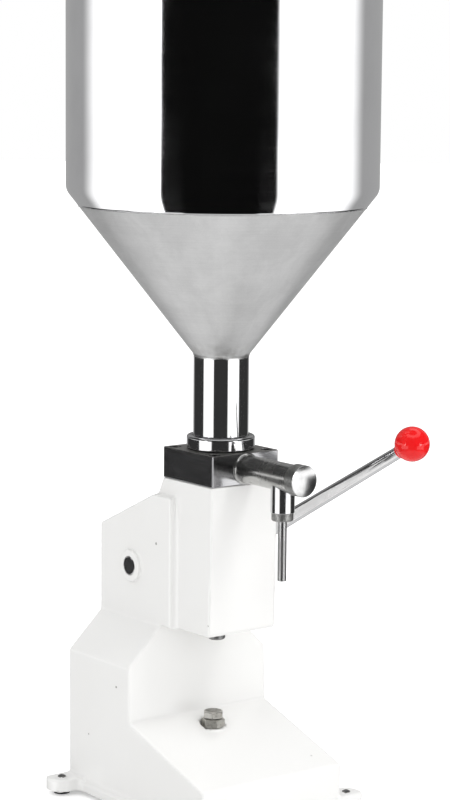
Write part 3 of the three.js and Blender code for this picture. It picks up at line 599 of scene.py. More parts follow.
def make_hopper():
    m = Mat("hopper_stainless")
    x, y, z = m.xyz()
    rad = (x.pow(2.0) + y.pow(2.0)).sqrt()
    lo, hi = zbox("hopper")
    junction = 556.0
    cone = z.step(junction + 0.6, junction - 0.6) * z.step(419.0, 421.5)
    streak = m.noise(m.vec(x * 0.012, y * 0.012, z * 1.4), 1.0, 4, 0.6, seed=21.0)
    fine = m.noise(m.vec(x * 0.05, y * 0.05, z * 5.0), 1.0, 3, 0.6, seed=22.0)
    grain = m.noise(scale=0.9, detail=4, rough=0.7, seed=23.0)
    cloud = m.noise(scale=0.018, detail=3, seed=24.0)
    shell = m.mix((0.80, 0.80, 0.81), (0.70, 0.70, 0.71), cloud.step(0.35, 0.75) * 0.6)
    down = m.noise(m.vec(x / rad.max(1.0) * 4.0, y / rad.max(1.0) * 4.0, z * 0.012), 1.0, 5, 0.6, 0.6, seed=27.0)
    mist = m.noise(scale=0.035, detail=5, rough=0.62, dist=0.5, seed=28.0)
    satin = m.mix((0.70, 0.70, 0.70), (0.90, 0.90, 0.90), (down.step(0.3, 0.7) * 0.25 + mist.step(0.32, 0.68) * 0.40 + streak.step(0.3, 0.7) * 0.15 + grain.step(0.35, 0.7) * 0.20))
    m.set("Metallic", 1.0)
    rs = mixf(0.045, 0.10, streak.step(0.35, 0.75) * 0.6 + cloud.step(0.4, 0.7) * 0.4)
    # darker mottled band on the cone's lowest 20 mm, next to the neck
    cone_foot_dark = z.step(440.0, 421.0) * cone * m.noise(scale=0.12, detail=4, seed=26.0).step(0.35, 0.7)
    rc = mixf(0.34, 0.48, fine.step(0.3, 0.7) * 0.5 + grain.step(0.3, 0.7) * 0.5)
    m.set("Base Color", m.mix(m.mix(shell, satin, cone), (0.30, 0.29, 0.27), cone_foot_dark * 0.5))
    m.set("Roughness", mixf(rs, rc, cone))
    m.set("Anisotropic", cone * 0.55)
    m.tangent("Z")
    geo = m.node("ShaderNodeNewGeometry")
    outv = m.vec(x / rad.max(1.0), y / rad.max(1.0), 0.0)
    dot = m.node("ShaderNodeVectorMath", operation="DOT_PRODUCT")
    m.t.links.new(geo.outputs["Normal"], dot.inputs[0])
    m.t.links.new(outv, dot.inputs[1])
    knuckle = Sock(m.t, dot.outputs["Value"]).step(0.0, 0.3) * z.step(556.2, 557.5) * z.step(596.0, 590.0)
    blend = m.node("ShaderNodeMix", data_type="VECTOR")
    m.t.links.new(knuckle.s, blend.inputs[0])
    m.t.links.new(geo.outputs["Normal"], blend.inputs[4])
    m.t.links.new(outv, blend.inputs[5])
    b = m.bump(mixf(streak, fine, cone), 0.25, 0.03, blend.outputs[1])
    b = m.bump(grain * cone, 0.35, 0.05, b)
    b = m.bump(m.noise(m.vec(x * 0.02, y * 0.02, z * 0.01), 1.0, 2, 0.5, seed=25.0), 0.25, 0.5, b)
    m.normal(b)
    return m.m


def make_block():
    m = Mat("block_ground_steel")
    x, y, z = m.xyz()
    lines = m.noise(m.vec(x * 0.03, y * 0.03, z * 2.2), 1.0, 4, 0.6, seed=31.0)
    top = z.step(335.6, 336.2)
    speck = m.noise(scale=0.8, detail=5, rough=0.7, seed=32.0)
    pit = m.voronoi(scale=0.55, seed=33.0).step(0.10, 0.30)
    side = m.mix((0.46, 0.46, 0.47), (0.60, 0.60, 0.61), lines.step(0.3, 0.75))
    topc = m.mix((0.16, 0.155, 0.15), (0.46, 0.455, 0.44), (speck.step(0.38, 0.68) * 0.7 + pit * 0.3))
    m.set("Base Color", m.mix(side, topc, top))
    m.set("Metallic", 1.0)
    m.set("Roughness", mixf(mixf(0.10, 0.20, lines.step(0.3, 0.8)), mixf(0.3, 0.5, speck), top))
    b = m.bump(mixf(lines, speck, top), 0.3, 0.05)
    b = m.bump(m.noise(scale=0.02, detail=1, seed=34.0), 0.3, 0.35, b)
    m.normal(b)
    return m.m


def make_machined(name, base=(0.42, 0.41, 0.385), dark=(0.20, 0.19, 0.17), rough=0.32):
    m = Mat(name)
    mott = m.noise(scale=0.35, detail=5, rough=0.65, seed=41.0)
    fine = m.noise(scale=2.2, detail=3, rough=0.6, seed=42.0)
    edge = m.pointiness().step(0.52, 0.60)
    col = m.mix(base, dark, mott.step(0.42, 0.72) * 0.75)
    col = m.mix(col, (0.72, 0.71, 0.68), edge * 0.7)
    m.set("Base Color", col)
    m.set("Metallic", 1.0)
    m.set("Roughness", mixf(rough, rough + 0.22, mott.step(0.3, 0.7)))
    b = m.bump(mott, 0.35, 0.12)
    b = m.bump(fine, 0.3, 0.03, b)
    m.normal(b)
    return m.m


def make_black(name="blackened_steel"):
    m = Mat(name)
    n1 = m.noise(scale=0.8, detail=4, seed=51.0)
    m.set("Base Color", m.mix((0.035, 0.035, 0.037), (0.11, 0.11, 0.11), n1.step(0.4, 0.75)))
    m.set("Metallic", 0.85)
    m.set("Roughness", mixf(0.32, 0.55, n1))
    m.normal(m.bump(m.noise(scale=1.8, detail=3, seed=52.0), 0.3, 0.05))
    return m.m


def make_rubber():
    m = Mat("foot_rubber")
    n1 = m.noise(scale=1.6, detail=5, rough=0.7, seed=61.0)
    x, y, z = m.xyz()
    m.set("Base Color", m.mix((0.010, 0.010, 0.011), (0.045, 0.044, 0.042), n1.step(0.45, 0.8)))
    m.set("Roughness", mixf(0.62, 0.85, n1))
    m.set("Specular IOR Level", 0.35)
    m.normal(m.bump(n1, 0.4, 0.12))
    return m.m


def make_red():
    m = Mat("knob_red_gloss")
    cloud = m.noise(scale=0.12, detail=3, seed=71.0)
    scr = m.noise(m.vec(*[a * k for a, k in zip(m.xyz(), (0.6, 0.12, 2.4))]), 1.0, 4, 0.7, seed=72.0)
    m.set("Base Color", m.mix((0.78, 0.010, 0.012), (0.86, 0.020, 0.020), cloud.step(0.35, 0.7)))
    m.set("Roughness", mixf(0.10, 0.22, scr.step(0.5, 0.8)))
    m.set("Coat Weight", 0.25)
    m.set("Specular IOR Level", 0.35)
    m.set("Coat Roughness", 0.06)
    m.set("Subsurface Weight", 0.04)
    m.set("Subsurface Radius", (0.004, 0.001, 0.0005))
    m.normal(m.bump(m.noise(scale=0.14, detail=2, seed=73.0), 0.2, 0.12))
    return m.m


def make_bronze():
    m = Mat("sintered_bronze")
    n1 = m.noise(scale=1.4, detail=5, rough=0.7, seed=81.0)
    m.set("Base Color", m.mix((0.52, 0.33, 0.13), (0.30, 0.19, 0.08), n1.step(0.4, 0.75)))
    m.set("Metallic", 1.0)
    m.set("Roughness", mixf(0.32, 0.55, n1))
    m.normal(m.bump(n1, 0.4, 0.08))
    return m.m


def make_seal():
    m = Mat("seal_ring")
    n1 = m.noise(scale=0.9, detail=4, seed=91.0)
    m.set("Base Color", m.mix((0.70, 0.68, 0.62), (0.60, 0.57, 0.50), n1.step(0.4, 0.7)))
    m.set("Roughness", mixf(0.45, 0.65, n1))
    m.normal(m.bump(n1, 0.3, 0.06))
    return m.m


PAINT = make_paint()
HOPPER = make_hopper()
POL_Z = make_polish("polished_turned_z", "z", rough=0.06)
POL_Y = make_polish("polished_turned_y", "y", rough=0.07, lines=0.4)
POL_X = make_polish("polished_turned_x", "x", rough=0.12)
CHROME = make_polish("chrome_plate", None, base=(0.78, 0.78, 0.79), tint=(0.66, 0.66, 0.67), rough=0.05, lines=0.15)
PLAIN = make_polish("plain_stainless", "z", base=(0.62, 0.62, 0.62), rough=0.2, lines=0.5)
BLOCK = make_block()
SPOUT = make_polish("spout_polish", "y", base=(0.62, 0.62, 0.61), tint=(0.44, 0.43, 0.41), rough=0.18, lines=0.5)
CAP = make_polish("cap_polish", "y", base=(0.70, 0.70, 0.70), tint=(0.52, 0.52, 0.51), rough=0.12, lines=0.5, rim_behind=-119.9)
COLLAR = make_polish("socket_polish", "z", rough=0.09, lines=0.5, satin_below=290.9)
# the piston rod steel is darkened to stand in for the shade it sits in under the casting head: painted shade
SHADED_ROD_STEEL = make_polish("rod_steel_painted_shade", "z", base=(0.30, 0.30, 0.30), tint=(0.20, 0.20, 0.20), rough=0.30, lines=0.5)
TUBE_STEEL = make_polish("drawn_tube_steel", "z", base=(0.44, 0.44, 0.44), tint=(0.34, 0.34, 0.34), rough=0.24, lines=0.5)
MACHINED = make_machined("machined_steel")
BOLT_STEEL = make_machined("worn_bolt_steel", (0.33, 0.32, 0.295), (0.12, 0.115, 0.10), 0.34)
NUT_STEEL = make_machined("lock_nut_steel", (0.56, 0.55, 0.51), (0.24, 0.23, 0.20), 0.28)
BLACK = make_black()
WELD = make_polish("dressed_weld", "z", base=(0.80, 0.80, 0.80), tint=(0.70, 0.70, 0.70), rough=0.42, lines=0.5)
MACHINED_DARK = make_machined("dark_worn_steel", (0.20, 0.20, 0.20), (0.08, 0.08, 0.08), 0.30)
RUBBER = make_rubber()
RED = make_red()
BRONZE = make_bronze()
SEAL = make_seal()


def finish_piece(ob, body, material, nodes=(), weighted=True):
    if weighted:
        wn = ob.modifiers.new("even_normals", "WEIGHTED_NORMAL")
        wn.mode, wn.weight, wn.keep_sharp = "FACE_AREA", 100, True
    ob.data.materials.clear()
    ob.data.materials.append(material)
    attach(ob, body)
    if nodes:
        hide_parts(*nodes)
    return ob


# ------------------------------------------------------------------ casting
BASE_HALF, BACK, FRONT, CAST_Z0 = 79.2, 128.4, -81.8, zbox("body_casting")[0]
HEAD_TOP = zbox("body_casting")[1]
SHAFT = (77.8, 219.5)
AXIS_Y = 4.0
BOLT_Y = 8.2
LUG_X, LUG_FRONT, LUG_REAR = 92.8, -74, 121


def lug_poly(sx, y, sy):
    inner, f, edge, R = BASE_HALF - 6, 6.0, BASE_HALF + 4.6, 14.6
    s = [(inner, y + sy * 11.6), (LUG_X, y + sy * 11.6)]
    a0 = math.asin(11.6 / R)
    for i in range(25):
        a = a0 + (-math.pi / 2 - a0) * i / 24
        s.append((LUG_X + R * math.cos(a), y + sy * R * math.sin(a)))
    for i in range(9):
        a = i / 8 * math.pi / 2
        s.append((edge + f - f * math.sin(a), y - sy * (R + f - f * math.cos(a))))
    s.append((inner, y - sy * (R + f)))
    return [(sx * a, b) for a, b in s]


def casting_fn():
    yz = round_profile([(BACK, -30), (BACK, 252.6), (44.2, 291.8), (17.2, 291.8), (17.2, 170.9), (33.0, 170.9), (31.5, 84.4), (FRONT, 46.0), (FRONT, -30)],
                       [0, 2, 1.2, 1.5, 1.5, 2.0, 4, 2.5, 0], 6, True)
    xz = round_profile([(BASE_HALF, -30), (BASE_HALF, 135.5), (43.7, 169.6), (43.7, 330), (-43.7, 330), (-43.7, 169.6), (-BASE_HALF, 135.5), (-BASE_HALF, -30)],
                       [0, 3.5, 3.5, 0, 0, 3.5, 3.5, 0], 6, True)
    head = round_profile([(-37.2, 340), (-37.2, HEAD_TOP), (-34.1, 170.9), (21, 170.9), (28, 185), (33, 280), (46.5, 289.0), (44.2, 293.5), (41.0, 300.5), (37.3, HEAD_TOP), (37.3, 340)],
                         [0, 0, 2.5, 1, 3, 3, 1, 2, 3, 0, 0], 5, True)
    f_yz, f_xz, f_head = poly_sdf(yz), poly_sdf(xz), poly_sdf(head)
    yz_in = [(BACK, -60), (BACK, 252.6), (44.2, 291.8), (31.5, 291.8), (31.5, 84.4), (FRONT, 46.0), (FRONT, -60)]
    xz_in = [(BASE_HALF, -60), (BASE_HALF, 135.5), (43.7, 169.6), (43.7, 330), (-43.7, 330), (-43.7, 169.6), (-BASE_HALF, 135.5), (-BASE_HALF, -60)]
    f_yz_in, f_xz_in = poly_sdf(yz_in), poly_sdf(xz_in)
    lugs = [poly_sdf(lug_poly(sx, y, sy)) for sx in (-1, 1) for y, sy in ((LUG_REAR, 1), (LUG_FRONT, -1))]

    def fn(x, y, z):
        body = X(f_yz(y, z), f_xz(x, z), 1.6)
        hw = 37.3 + (HEAD_TOP - z) * (0.7 / 137.0)
        hd = X(f_head(y, z), np.abs(x) - hw, 1.5)
        low = np.clip((284 - z) / 14, 0, 1)
        d = low * U(body, hd, 6.5) + (1 - low) * U(body, hd, 2.0)
        # skirt and ears
        qx, qy = np.abs(x) - (BASE_HALF + 4.6 - 6), np.maximum(FRONT - 4.6 + 6 - y, y - (BACK + 4.6 - 6))
        plan = np.hypot(np.maximum(qx, 0), np.maximum(qy, 0)) + np.minimum(np.maximum(qx, qy), 0) - 6
        skirt = X(plan, z - 12.8, 1.8)
        for lug in lugs:
            skirt = U(skirt, X(lug(x, y), z - 15.5, 2.0), 2.5)
        d = U(d, skirt, 3.5)
        # bosses
        for s in (-1, 1):
            h = s * x
            boss = cyl(y - SHAFT[0], z - SHAFT[1], h, 14.8, 30, 46.7, 1.8)
            d = U(d, boss, 1.2)
        pad = cyl(x, y - BOLT_Y, z, 12.0, 46, 74, 0.8)
        d = U(d, pad, 2.0)
        # hollow
        hollow = X(f_yz_in(y, z), f_xz_in(x, z), 0.0) + 6.0
        chamber = np.maximum(np.maximum(np.abs(x) - 31, np.maximum(-28 - y, y - 42)), np.maximum(177 - z, z - 240))
        hollow = U(hollow, chamber, 2.0)
        inner = cyl(y - SHAFT[0], z - SHAFT[1], np.abs(x), 16.0, 28, 60, 1.0)
        hollow = D(hollow, inner, 1.5)
        hollow = D(hollow, cyl(x, y - BOLT_Y, z, 12.0, 46, 90, 0.5), 1.5)
        d = D(d, hollow, 1.0)
        # bores
        d = D(d, cyl(y - SHAFT[0], z - SHAFT[1], x, 8.95, -80, 80), 0.4)
        d = D(d, cyl(y - SHAFT[0], z - SHAFT[1], np.abs(x), 11.8, 10, 40.4), 0.3)
        d = D(d, cyl(x, y - AXIS_Y, z, 24.4, 245.6, 340), 0.4)
        d = D(d, cyl(x, y - AXIS_Y, z, 19.8, 236, 250), 0.3)
        d = D(d, cyl(x, y - AXIS_Y, z, 12.9, 150, 180), 0.8)
        d = D(d, cyl(x, y - BOLT_Y, z, 12.0, 74, 100), 1.0)
        d = D(d, cyl(x, y - BOLT_Y, z, 6.3, 20, 100), 0.3)
        back = np.maximum(np.maximum(np.abs(x) - 28, np.maximum(118 - y, y - 140)), np.maximum(96 - z, z - 238))
        d = D(d, back, 1.0)
        for sx in (-1, 1):
            for yy in (LUG_REAR, LUG_FRONT):
                d = D(d, cyl(x - sx * LUG_X, y - yy, z, 2.7, -5, 30), 0.4)
        return X(X(d, CAST_Z0 - z, 0.8), z - HEAD_TOP, 0.6)
    return fn


CAST_STEP = 2.0
casting = sdf_object("casting_body", casting_fn(), (-110, -93, CAST_Z0 - 4), (110, 140, HEAD_TOP + 4), CAST_STEP)
finish_piece(casting, "stand", PAINT, ["body_casting"], False)

# crisp painted ring on each shaft boss
for tag, s in (("left", -1), ("right", 1)):
    prof = round_profile([(9.0, 44.5), (9.0, 46.85), (14.85, 46.85), (14.95, 44.5)], [0, 0.5, 2.0, 0], 6, True)
    ring = lathe("shaft_boss_" + tag, [(r, s * h) for r, h in prof], 96, "x", (0, SHAFT[0], SHAFT[1]), True)
    finish_piece(ring, "stand", PAINT)


# ------------------------------------------------------------------ rear cover, screws, feet
def rounded_rect(hx, z0, z1, r, n=8):
    pts = []
    for cx, cz, a in ((hx - r, z0 + r, -90), (hx - r, z1 - r, 0), (-hx + r, z1 - r, 90), (-hx + r, z0 + r, 180)):
        for i in range(n + 1):
            t = math.radians(a + 90 * i / n)
            pts.append((cx + r * math.cos(t), cz + r * math.sin(t)))
    return pts


lo, hi = mm_box("rear_cover")
y0, y1 = lo[1] - OY, hi[1] - OY
rings = []
for inset, yy in ((0.0, y0), (0.0, y1 - 0.7), (0.25, y1 - 0.25), (0.8, y1)):
    rings.append([(x, yy, z) for x, z in rounded_rect(36 - inset, lo[2] + inset, hi[2] - inset, 5 - inset * 0.6)])
n = len(rings[0])
verts = [p for r in rings for p in r]
faces = [tuple(range(n)), tuple(reversed(range(3 * n, 4 * n)))]
for k in range(3):
    faces += [(k * n + i, k * n + (i + 1) % n, (k + 1) * n + (i + 1) % n, (k + 1) * n + i) for i in range(n)]
cover = new_object("rear_plate", verts, faces, 40)
finish_piece(cover, "stand", PAINT, ["rear_cover"])

k = 0
for z in (101, 233):
    for sx in (-1, 1):
        k += 1
        a = BACK
        prof = [(0, a - 6), (1.9, a - 6), (1.9, a + 2.9), (4.0, a + 2.9)] + arc(2.6, a + 3.6, 1.5, 0, 70, 5) + [(0, a + 5.4)]
        s = lathe(f"cover_screw_head_{k}", prof, 40, "y", (sx * 32, 0, z))
        v, f = prism_mesh([(sx * 32 - 5, a + 4.1), (sx * 32 + 5, a + 4.1), (sx * 32 + 5, a + 7), (sx * 32 - 5, a + 7)], z - 0.5, z + 0.5)
        v2 = v.copy()
        tilt = math.radians((35, 110, 62, 150)[k - 1])
        dx, dz = v[:, 0] - sx * 32, v[:, 2] - z
        v2[:, 0] = sx * 32 + dx * math.cos(tilt) - dz * math.sin(tilt)
        v2[:, 2] = z + dx * math.sin(tilt) + dz * math.cos(tilt)
        c = new_object("c", v2, f)
        boolean(s, [c])
        finish_piece(s, "stand", MACHINED, [f"cover_screw_{k}"])

for tag, sx, y in (("fl", -1, LUG_FRONT), ("fr", 1, LUG_FRONT), ("rl", -1, LUG_REAR), ("rr", 1, LUG_REAR)):
    at = (sx * LUG_X, y, 0)
    prof = [(0, 0)] + [(5.0, 0), (5.4, 0.35), (6.0, 0.35), (6.4, 0)] + arc(7.1, 0.9, 0.9, -90, 0, 4) + arc(7.2, 2.6, 0.6, 20, 90, 4) + [(2.7, 3.2), (2.7, 1.6), (0, 1.6)]
    finish_piece(lathe("rubber_foot_" + tag, prof, 64, "z", at), "stand", RUBBER, ["foot_" + tag])
    prof = [(0, 2.0), (2.3, 2.0), (2.3, 15.2), (3.6, 15.45), (3.75, 15.8), (3.6, 16.15), (2.35, 16.3), (2.2, 16.9), (1.7, 17.2), (0.7, 17.2), (0.5, 16.9), (0, 16.9)]
    finish_piece(lathe("foot_stud_" + tag, prof, 40, "z", at), "stand", MACHINED_DARK, ["foot_screw_" + tag])

# ------------------------------------------------------------------ hopper, ring, gasket
HZ0, HZ1 = zbox("hopper")
HR, JZ, NR, NT, W = 140.4, 570.1, 25.25, 422.5, 1.5
slope = math.atan2(JZ - NT, HR - NR)
turn = math.pi / 2 - slope
NB = 6.7
leg = NB * math.tan(turn / 2)
ob, ib = [], []
ob += [(NR, HZ0), (NR, HZ0 + 30), (NR, NT - leg - 8)]
ob += [(NR + NB * (1 - math.cos(a)), NT - leg + NB * math.sin(a)) for a in np.linspace(0, turn, 8)]
R = 13.5
cz = JZ + R * math.tan(turn / 2)
k0 = ob[-1]
k1 = (HR - R + R * math.cos(turn), cz - R * math.sin(turn))
for t in np.linspace(0.06, 0.94, 14):
    ob.append((k0[0] + (k1[0] - k0[0]) * t, k0[1] + (k1[1] - k0[1]) * t))
ob += [(HR - R + R * math.cos(a), cz + R * math.sin(a)) for a in np.linspace(-turn, 0, 12)]
ob += [(HR, cz + (HZ1 - 6 - cz) * t) for t in np.linspace(0.05, 1, 12)]
BR = 2.0
bc = (HR - W + BR, HZ1 - BR)
ob += [(bc[0] + BR * math.cos(a), bc[1] + BR * math.sin(a)) for a in np.linspace(math.radians(-62), math.radians(180), 16)]
ib += [(HR - W, HZ1 - BR - 2)]
ib += [(HR - W, cz + (HZ1 - 6 - cz) * t) for t in np.linspace(0.95, 0.05, 8)]
ib += [(HR - R + (R - W) * math.cos(a), cz + (R - W) * math.sin(a)) for a in np.linspace(0, -turn, 9)]
zi = NT + W / math.cos(slope) - W * math.tan(slope)
rin = NB + W
legi = rin * math.tan(turn / 2)
end = ib[-1]
nk = [(NR - W + rin * (1 - math.cos(a)), zi - legi + rin * math.sin(a)) for a in np.linspace(turn, 0, 8)]
ib += [(end[0] + (nk[0][0] - end[0]) * t, end[1] + (nk[0][1] - end[1]) * t) for t in np.linspace(0.08, 0.95, 10)]
ib += nk + [(NR - W, HZ0)]
hopper = lathe("hopper_shell", ob + ib, 192, "z", (0, 0, 0), True, 35)
finish_piece(hopper, "stand", HOPPER, ["hopper"])

# dressed weld where the satin cone joins the polished knuckle
SEAM_Z = 556.0
SEAM_R = NR + (SEAM_Z - NT) / (JZ - NT) * (HR - NR)
seam = lathe("cone_seam", [(SEAM_R - 0.25 + 0.55 * math.cos(a), SEAM_Z + 0.75 * math.sin(a)) for a in np.linspace(-math.pi, math.pi, 13)[:-1]], 192, "z", (0, 0, 0), True, 60)
finish_piece(seam, "stand", WELD)

RZ0, RZ1 = zbox("neck_ring")
prof = round_profile([(NR + 0.3, RZ0), (31.1, RZ0), (31.1, RZ1), (NR + 0.3, RZ1)], [0.2, 0.5, 2.4, 0.5], 7, True)
finish_piece(lathe("neck_union_ring", prof, 128, "z", (0, 0, 0), True), "stand", POL_Z, ["neck_ring"])
GZ0, GZ1 = zbox("neck_gasket")
prof = round_profile([(21, GZ0), (30.6, GZ0), (30.6, GZ1), (21, GZ1)], 0.15, 3, True)
finish_piece(lathe("neck_seal_ring", prof, 96, "z", (0, 0, 0), True), "stand", RUBBER, ["neck_gasket"])

# ------------------------------------------------------------------ valve block
BZ0, BZ1 = zbox("valve_block")
BH = 37.25


def chamfer_box(name, h, z0, z1, c=0.7):
    r = 1.2
    def outline(inset):
        pts = []
        for cx, cy, a in ((h - r, -h + r, -90), (h - r, h - r, 0), (-h + r, h - r, 90), (-h + r, -h + r, 180)):
            for i in range(6):
                t = math.radians(a + 90 * i / 5)
                q = r - inset * 0.6
                pts.append((cx + q * math.cos(t) - math.copysign(inset * 0.4, cx), cy + q * math.sin(t) - math.copysign(inset * 0.4, cy)))
        return pts
    rings = [(c, z0), (c * 0.35, z0 + c * 0.35), (0, z0 + c), (0, z1 - c), (c * 0.35, z1 - c * 0.35), (c, z1)]
    v, n0 = [], None
    for inset, z in rings:
        o = outline(inset)
        n0 = len(o)
        v += [(x, y, z) for x, y in o]
    f = [tuple(reversed(range(n0))), tuple(range(5 * n0, 6 * n0))]
    for q in range(5):
        f += [(q * n0 + i, q * n0 + (i + 1) % n0, (q + 1) * n0 + (i + 1) % n0, (q + 1) * n0 + i) for i in range(n0)]
    return new_object(name, v, f, 20)


block = chamfer_box("valve_block_body", BH, BZ0, BZ1)
cut = [lathe("k0", [(0, 300), (12, 300), (12, 320.3), (5, 327.3), (5, 330), (19, 330), (19, 345), (0, 345)], 64),
       lathe("k1", [(0, -45), (9.8, -45), (9.8, -31), (6, -31), (6, 0), (0, 0)], 48, "y", (0, 0, 322.5))]
for i, (sx, sy) in enumerate(((-1, -1), (1, -1), (-1, 1), (1, 1))):
    cut.append(lathe(f"k{i + 2}", [(0, 300), (3.3, 300), (3.3, 329.3), (5.5, 329.3), (5.5, BZ1 - 0.5), (6.1, BZ1 + 0.1), (6.1, 345), (0, 345)], 48, "z",
                     (sx * 29.5, sy * 29.5, 0)))
boolean(block, cut, angle=20)
finish_piece(block, "stand", BLOCK, ["valve_block"])
for i, (sx, sy) in enumerate(((-1, -1), (1, -1), (-1, 1), (1, 1))):
    at = (sx * 29.5, sy * 29.5, 0)
    prof = [(0, 288), (2.9, 288), (2.9, 329.6), (5.1, 329.6), (5.1, 334.9)] + arc(4.3, 335.0, 0.8, 0, 90, 4) + [(0, 335.8)]
    s = lathe(f"block_screw_head_{i + 1}", prof, 48, "z", at)
    hx = [(at[0] + 2.9 * math.cos(q), at[1] + 2.9 * math.sin(q)) for q in np.radians(np.arange(6) * 60 + 13 * i)]
    v, f = prism_mesh(hx, 332.6, 340)
    boolean(s, [new_object("c", v, f)])
    finish_piece(s, "stand", BLACK, [f"block_screw_{i + 1}"])

# ------------------------------------------------------------------ spout, cap, collar, nozzle
SZ = 322.5
sp = (0, 0, SZ)
prof = [(5, -31.4), (9.5, -31.4), (9.5, -37.4)] + arc(12.7 + 2.6, -37.4 - 2.8, 2.6, 90, 180, 6)[1:] + [(12.7, -41.0), (12.7, -75), (12.7, -110.3), (10.2, -110.3), (10.2, -48.5), (5, -43.3)]
spout = lathe("spout_pipe", prof, 96, "y", sp, True, 35)
boolean(spout, [lathe("k", [(0, 300), (3.5, 300), (3.5, SZ), (0, SZ)], 32, "z", (0, -90.5, 0))], angle=35)
finish_piece(spout, "stand", SPOUT, ["spout_tube"])
prof = [(0, -104), (9.9, -104), (9.9, -110.6), (13.0, -110.6), (13.0, -108.5)] + round_profile([(13.4, -108.5), (14.15, -108.9), (14.15, -120.3), (13.2, -120.45)], [0, 0.4, 0.7, 0], 5)
prof += [(13.2 * (1 - t), -120.45 - 1.25 * (1 - (1 - t) ** 2)) for t in np.linspace(0.08, 1.0, 12)]
prof[-1] = (0, prof[-1][1])
finish_piece(lathe("spout_end_cap", prof, 96, "y", sp, False, 28), "stand", CAP, ["spout_cap"])

CZ0 = zbox("nozzle_collar")[0]
NY = -90.5
prof = round_profile([(4.3, CZ0), (9.8, CZ0), (9.8, CZ0 + 7.3), (10.8, CZ0 + 7.6), (10.8, 318), (4.3, 318)], [0.3, 1.5, 0.3, 0.5, 0, 0], 7, True)
collar = lathe("nozzle_socket", prof, 96, "z", (0, NY, 0), True)
boolean(collar, [lathe("k", [(0, -60), (12.95, -60), (12.95, -125), (0, -125)], 96, "y", sp)])
finish_piece(collar, "stand", COLLAR, ["nozzle_collar"])
TZ0, TZ1 = zbox("nozzle_tube")
prof = round_profile([(3, TZ0), (4, TZ0), (4, TZ1), (3, TZ1)], [0.25, 0.7, 0.2, 0.2], 5, True)
finish_piece(lathe("nozzle_pipe", prof, 64, "z", (0, NY, 0), True), "stand", TUBE_STEEL, ["nozzle_tube"])

# ------------------------------------------------------------------ shaft, hub, lever, ball
sh = (0, SHAFT[0], SHAFT[1])
prof = [(0, -46.8), (8.0, -46.8), (8.5, -46.3), (8.5, 90.4)] + arc(7.7, 90.6, 0.8, 0, 90, 4) + [(1.6, 91.4), (1.2, 90.6), (0, 90.3)]
finish_piece(lathe("lever_shaft_bar", prof, 72, "x", sh), "lever", POL_X, ["lever_shaft"])
tilt = math.radians(28.5)
ux, uy = np.array([1.0, 0, 0]), np.array([0, -math.cos(tilt), math.sin(tilt)])
side = np.cross(uy, ux)
LX = 78.0


def hub_fn(x, y, z):
    X_, Y_, Z_ = x - LX, y - SHAFT[0], z - SHAFT[1]
    along = Y_ * uy[1] + Z_ * uy[2]
    across = Y_ * side[1] + Z_ * side[2]
    body = cyl(Y_, Z_, X_, 17.0, -11, 11, 1.4)
    neck = cyl(X_, across, along, 9.0, 0, 26, 1.0)
    d = U(body, neck, 2.5)
    d = D(d, cyl(Y_, Z_, X_, 8.9, -30, 30), 0.5)
    d = D(d, cyl(X_, across, along, 5.4, 11.5, 40), 0.4)
    d = D(d, cyl(X_, across, -along, 2.8, 5, 40), 0.4)
    return d


hub = sdf_object("lever_hub_boss", hub_fn, (LX - 14, SHAFT[0] - 28, SHAFT[1] - 21), (LX + 14, SHAFT[0] + 20, SHAFT[1] + 24), 0.7)
finish_piece(hub, "lever", CHROME, ["lever_hub"], False)


def along_lever(ob):
    """a piece turned about z at the origin is laid along the lever"""
    c, s = math.cos(math.pi / 2 - tilt), math.sin(math.pi / 2 - tilt)
    Rx = np.array([[1, 0, 0], [0, c, -s], [0, s, c]])
    M = Matrix(Rx.tolist()).to_4x4()
    at = (np.array([LX, SHAFT[0], SHAFT[1]]) + FRAME_SHIFT) * MM
    o = FRAME_SHIFT * MM
    ob.data.transform(Matrix.Translation(Vector(at)) @ M @ Matrix.Translation(-Vector(o)))
    return ob


L = 285.0
prof = [(0, 12), (4.4, 12), (5.1, 12.7), (5.1, 26.4), (6.8, 26.4), (7.4, 27.0)] + [(7.4 - 1.9 * t, 27.0 + 240.4 * t) for t in np.linspace(0.1, 1, 10)] + [(5.1, 267.4), (5.1, L - 2.6), (4.5, L - 2), (0, L - 2)]
finish_piece(along_lever(lathe("lever_handle_rod", prof, 64, "z")), "lever", CHROME, ["lever_rod"])
prof = [(5.4, L - 1.6), (5.4, 267.7), (6.8, 267.7), (7.2, 268.1), (7.2, 270.3), (7.5, 271.2)]
prof += [(15.5 * math.sin(t), L - 15.5 * math.cos(t)) for t in np.radians(np.linspace(32.5, 180, 50))]
prof[-1] = (0, L + 15.5)
prof = [(0, L - 1.6)] + prof
finish_piece(along_lever(lathe("ball_grip", prof, 96, "z", angle=40)), "lever", RED, ["ball_knob"]).visible_glossy = False

# ------------------------------------------------------------------ stop bolt and lock nut
def hexagon(flat, turn, c=(0, 0)):
    R = flat / math.sqrt(3)
    return [(c[0] + R * math.cos(turn + i * math.pi / 3), c[1] + R * math.sin(turn + i * math.pi / 3)) for i in range(6)]


HZL, HZH = 83.2, zbox("stop_bolt")[1]
T0 = math.radians(52.5)
v, f = prism_mesh(hexagon(17, T0, (0, BOLT_Y)), HZL, HZH)
head = new_object("stop_bolt_screw", v, f)
crown = lathe("k", [(0, HZL - 5), (15, HZL - 5), (15, HZH - 3.6), (7.9, HZH - 0.15), (7.2, HZH + 0.3), (0, HZH + 0.3)], 96, "z", (0, BOLT_Y, 0))
boolean(head, [crown], "INTERSECT", bevel=0.35, bevel_seg=2)
shank = [(0, 25.2), (4.9, 25.2)]
z = 26.0
while z < HZL - 1.2:
    shank += [(5.15, z), (5.85, z + 0.75)]
    z += 1.5
shank += [(5.6, HZL + 0.4), (0, HZL + 0.4)]
sk = lathe("stop_bolt_thread", shank, 48, "z", (0, BOLT_Y, 0), False, 60)
finish_piece(head, "volume_stop", BOLT_STEEL, ["stop_bolt"])
finish_piece(sk, "volume_stop", BOLT_STEEL)
NZ0, NZ1 = zbox("lock_nut")
